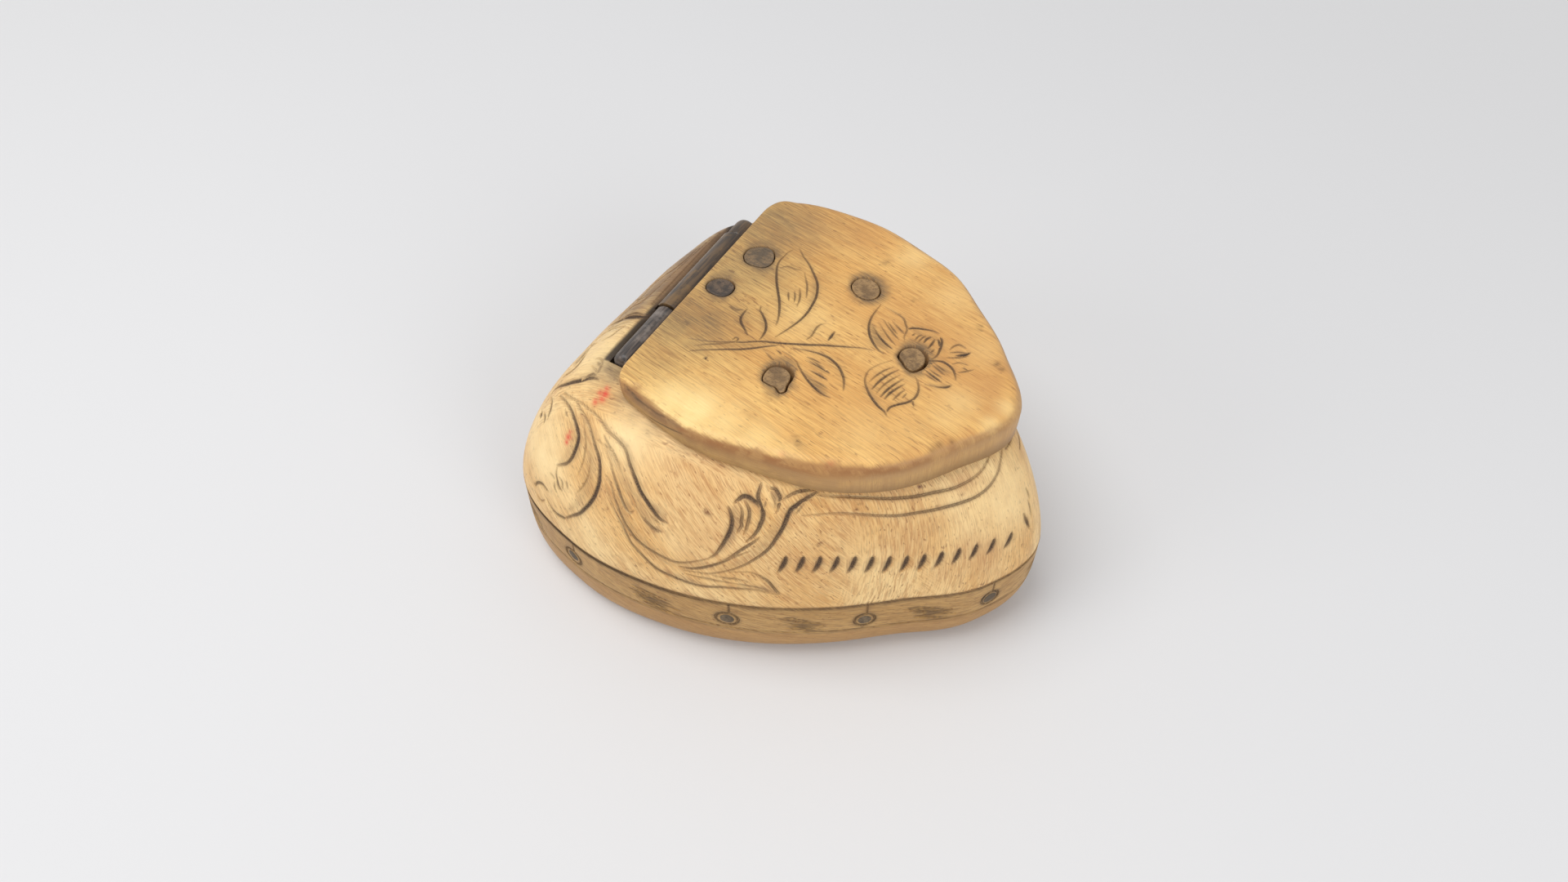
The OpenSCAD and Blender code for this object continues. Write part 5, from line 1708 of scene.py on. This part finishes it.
# ---- Liner ----
# A thin plate of plain sawn bone, held under the lid by three of the lid's pegs. It drops into
# the mouth and keeps the snuff dry.
LINER_GAP = 0.9
LINER_HOLE_FOOT = 25
LINER_PROFILE = ((1.2, -1.8), (0.5, -1.78), (0.15, -1.65), (0, -1.35), (0, -0.1), (0.1, 0))
LINER_PEGS = ("lid_peg_3", "lid_peg_4", "lid_peg_5")
liner_turn = np.arange(0, 360, 1.5)


def liner_ring(inset, height):
    """A ring of the liner, in the sloping frame of the lid's underside."""
    x, y = mouth_xy(liner_turn, LINER_GAP + inset).T
    return np.stack(sloped(x + HINGE_BACK, y, height), axis=1)


liner_rings = [liner_ring(inset, height) for inset, height in LINER_PROFILE]
liner_faces = wall_faces(len(liner_rings), len(liner_turn))
liner_faces += end_faces(len(liner_rings), len(liner_turn))
liner = new_piece("lid_liner_plate", np.concatenate(liner_rings), liner_faces)
for peg_name in LINER_PEGS:
    hole = on_lid_top(closed_curve(PEG_HOLES[peg_name]))
    cut_away(liner, prism("hole", hole, ((LINER_HOLE_FOOT, 0), (LID_TOP + 2, 0))))
liner_bone = bone_material(
    "liner_bone",
    srgb(196, 152, 96),
    srgb(222, 184, 128),
    srgb(150, 110, 68),
    srgb(110, 90, 64),
    ((0.2, 0.98, 0),),
)
liner.data.materials.clear()
liner.data.materials.append(liner_bone)
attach(liner, "lid")
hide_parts("lid_liner")


# ---- Hinge ----
# A strap of brown horn rolled round a pin between two fixed knuckles of dark horn. The strap's leaf
# is let into the lid from below, and the knuckles are glued into the shell's groove. The rolled end
# of the strap shows as a thin pale line along the barrel, partly wear and partly a painted highlight.
KNUCKLES = {
    "hinge_knuckle_near": (
        (-16.4, 1.0), (-16.3, 1.34), (-16.1, 1.55), (-15.7, 1.64), (-14, 1.68),
        (-10, 1.7), (-6, 1.74), (-5.3, 1.74), (-5.08, 1.66), (-5, 1.4),
    ),
    "hinge_knuckle_far": (
        (13.3, 1.4), (13.36, 1.66), (13.6, 1.78), (15, 1.82),
        (16.4, 1.8), (16.9, 1.66), (17.18, 1.4), (17.3, 0.9),
    ),
}
LID_SIDE_SHADOW = (0.5, 1.5)
LAP_TURNS = (-58, 62)
LAP_R = (1.8, 1.97)
LAP_Y = (-4.8, 13.1)


def horn_material(name, ground, dark, tint):
    """Polished horn: long soft stripes along the hinge, paler mottling, painted shadow on the side that
    faces the lid, and a pale edge that is partly wear and partly a painted highlight.
    """
    material, wire = new_material(name)
    place = wire.add("ShaderNodeTexCoord", out="Object")
    stretched = wire.add("ShaderNodeMapping", {}, {"Vector": place, "Scale": (2200, 160, 2200)})
    stripe = stretched.noise(1.0, 4.0, 0.6)
    patch = place.noise(420.0, 4.0, 0.65)
    edge = wire.add("ShaderNodeAttribute", {"attribute_name": "edge"}, out="Fac")
    colour = stripe.ramp(0.35, 0.65).blend(dark, ground)
    colour = (patch.ramp(0.48, 0.68) * 0.6).blend(colour, tint)
    forward = place.part("X")
    axis_x = HINGE_X + PLAN_SHIFT[0]
    # Painted shadow: the side of the barrel that faces the lid's edge is darkened.
    shaded = forward.ramp((axis_x + LID_SIDE_SHADOW[0]) * MM, (axis_x + LID_SIDE_SHADOW[1]) * MM)
    colour = (shaded * 0.7).blend(colour, srgb(44, 37, 32))
    # The pale edge line: partly wear, partly a painted highlight.
    colour = (edge * (0.6 + patch * 0.6)).clamped().blend(colour, srgb(176, 160, 138))
    satin(wire, colour, 0.32 + patch * 0.15, stripe + patch * 0.5, 0.4, 0.1 * MM, 0.5)
    return material


dark_horn = horn_material("dark_horn", srgb(100, 88, 79), srgb(50, 44, 42), srgb(142, 132, 124))
brown_horn = horn_material("brown_horn", srgb(100, 78, 54), srgb(52, 42, 34), srgb(128, 98, 58))
for node_name, steps in KNUCKLES.items():
    knuckle = lathe_along_hinge(node_name + "_turned", steps, 72)
    knuckle.data.materials.append(dark_horn if "near" in node_name else brown_horn)
    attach(knuckle, "box")
    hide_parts(node_name)

# The outer turn of the rolled strap, from the lid's side over the top to its free end.
lap_turns = np.radians(np.linspace(*LAP_TURNS, 60))
lap_places = np.linspace(*LAP_Y, 120)
turn_grid, place_grid = np.meshgrid(lap_turns, lap_places)
ragged = 0.03 * np.sin(place_grid * 2.1) + 0.02 * np.sin(place_grid * 5.3)
free_end = np.exp(-(((turn_grid - lap_turns[0]) / 0.1) ** 2))
from_end = (turn_grid - lap_turns[0]) / np.ptp(lap_turns)
outer_r = LAP_R[1] + 0.05 * free_end - 0.04 * from_end**2
swing = turn_grid + ragged * (1 - from_end)
lap_points = [
    np.stack([HINGE_X + r * np.sin(swing), place_grid, HINGE_Z + r * np.cos(swing)], axis=-1)
    for r in (outer_r, np.full_like(outer_r, LAP_R[0]))
]
index = np.arange(turn_grid.size).reshape(turn_grid.shape)
edge_loop = np.concatenate([index[0, :-1], index[:-1, -1], index[-1, :0:-1], index[:0:-1, 0]])
after_edge = np.roll(edge_loop, -1)
corners = np.stack([index[:-1, :-1], index[:-1, 1:], index[1:, 1:], index[1:, :-1]], axis=-1)
lap_faces = corners.reshape(-1, 4).tolist()
inside = turn_grid.size
lap_faces += [[f + inside for f in face[::-1]] for face in lap_faces]
lap_faces += np.stack([edge_loop, edge_loop + inside, after_edge + inside, after_edge], axis=1).tolist()
lap = new_piece("hinge_lap", np.concatenate([p.reshape(-1, 3) for p in lap_points]), lap_faces)
# The free end's mask for the pale line: partly wear, partly a painted highlight.
lap.data.attributes.new("edge", "FLOAT", "POINT").data.foreach_set("value", np.tile(free_end.ravel(), 2))
lap.data.materials.append(brown_horn)
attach(lap, "lid")
for node_name, finish_and_shade in (("hinge_pin", dark_horn), ("hinge_strap", brown_horn)):
    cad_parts[node_name].data.materials.clear()
    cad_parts[node_name].data.materials.append(finish_and_shade)
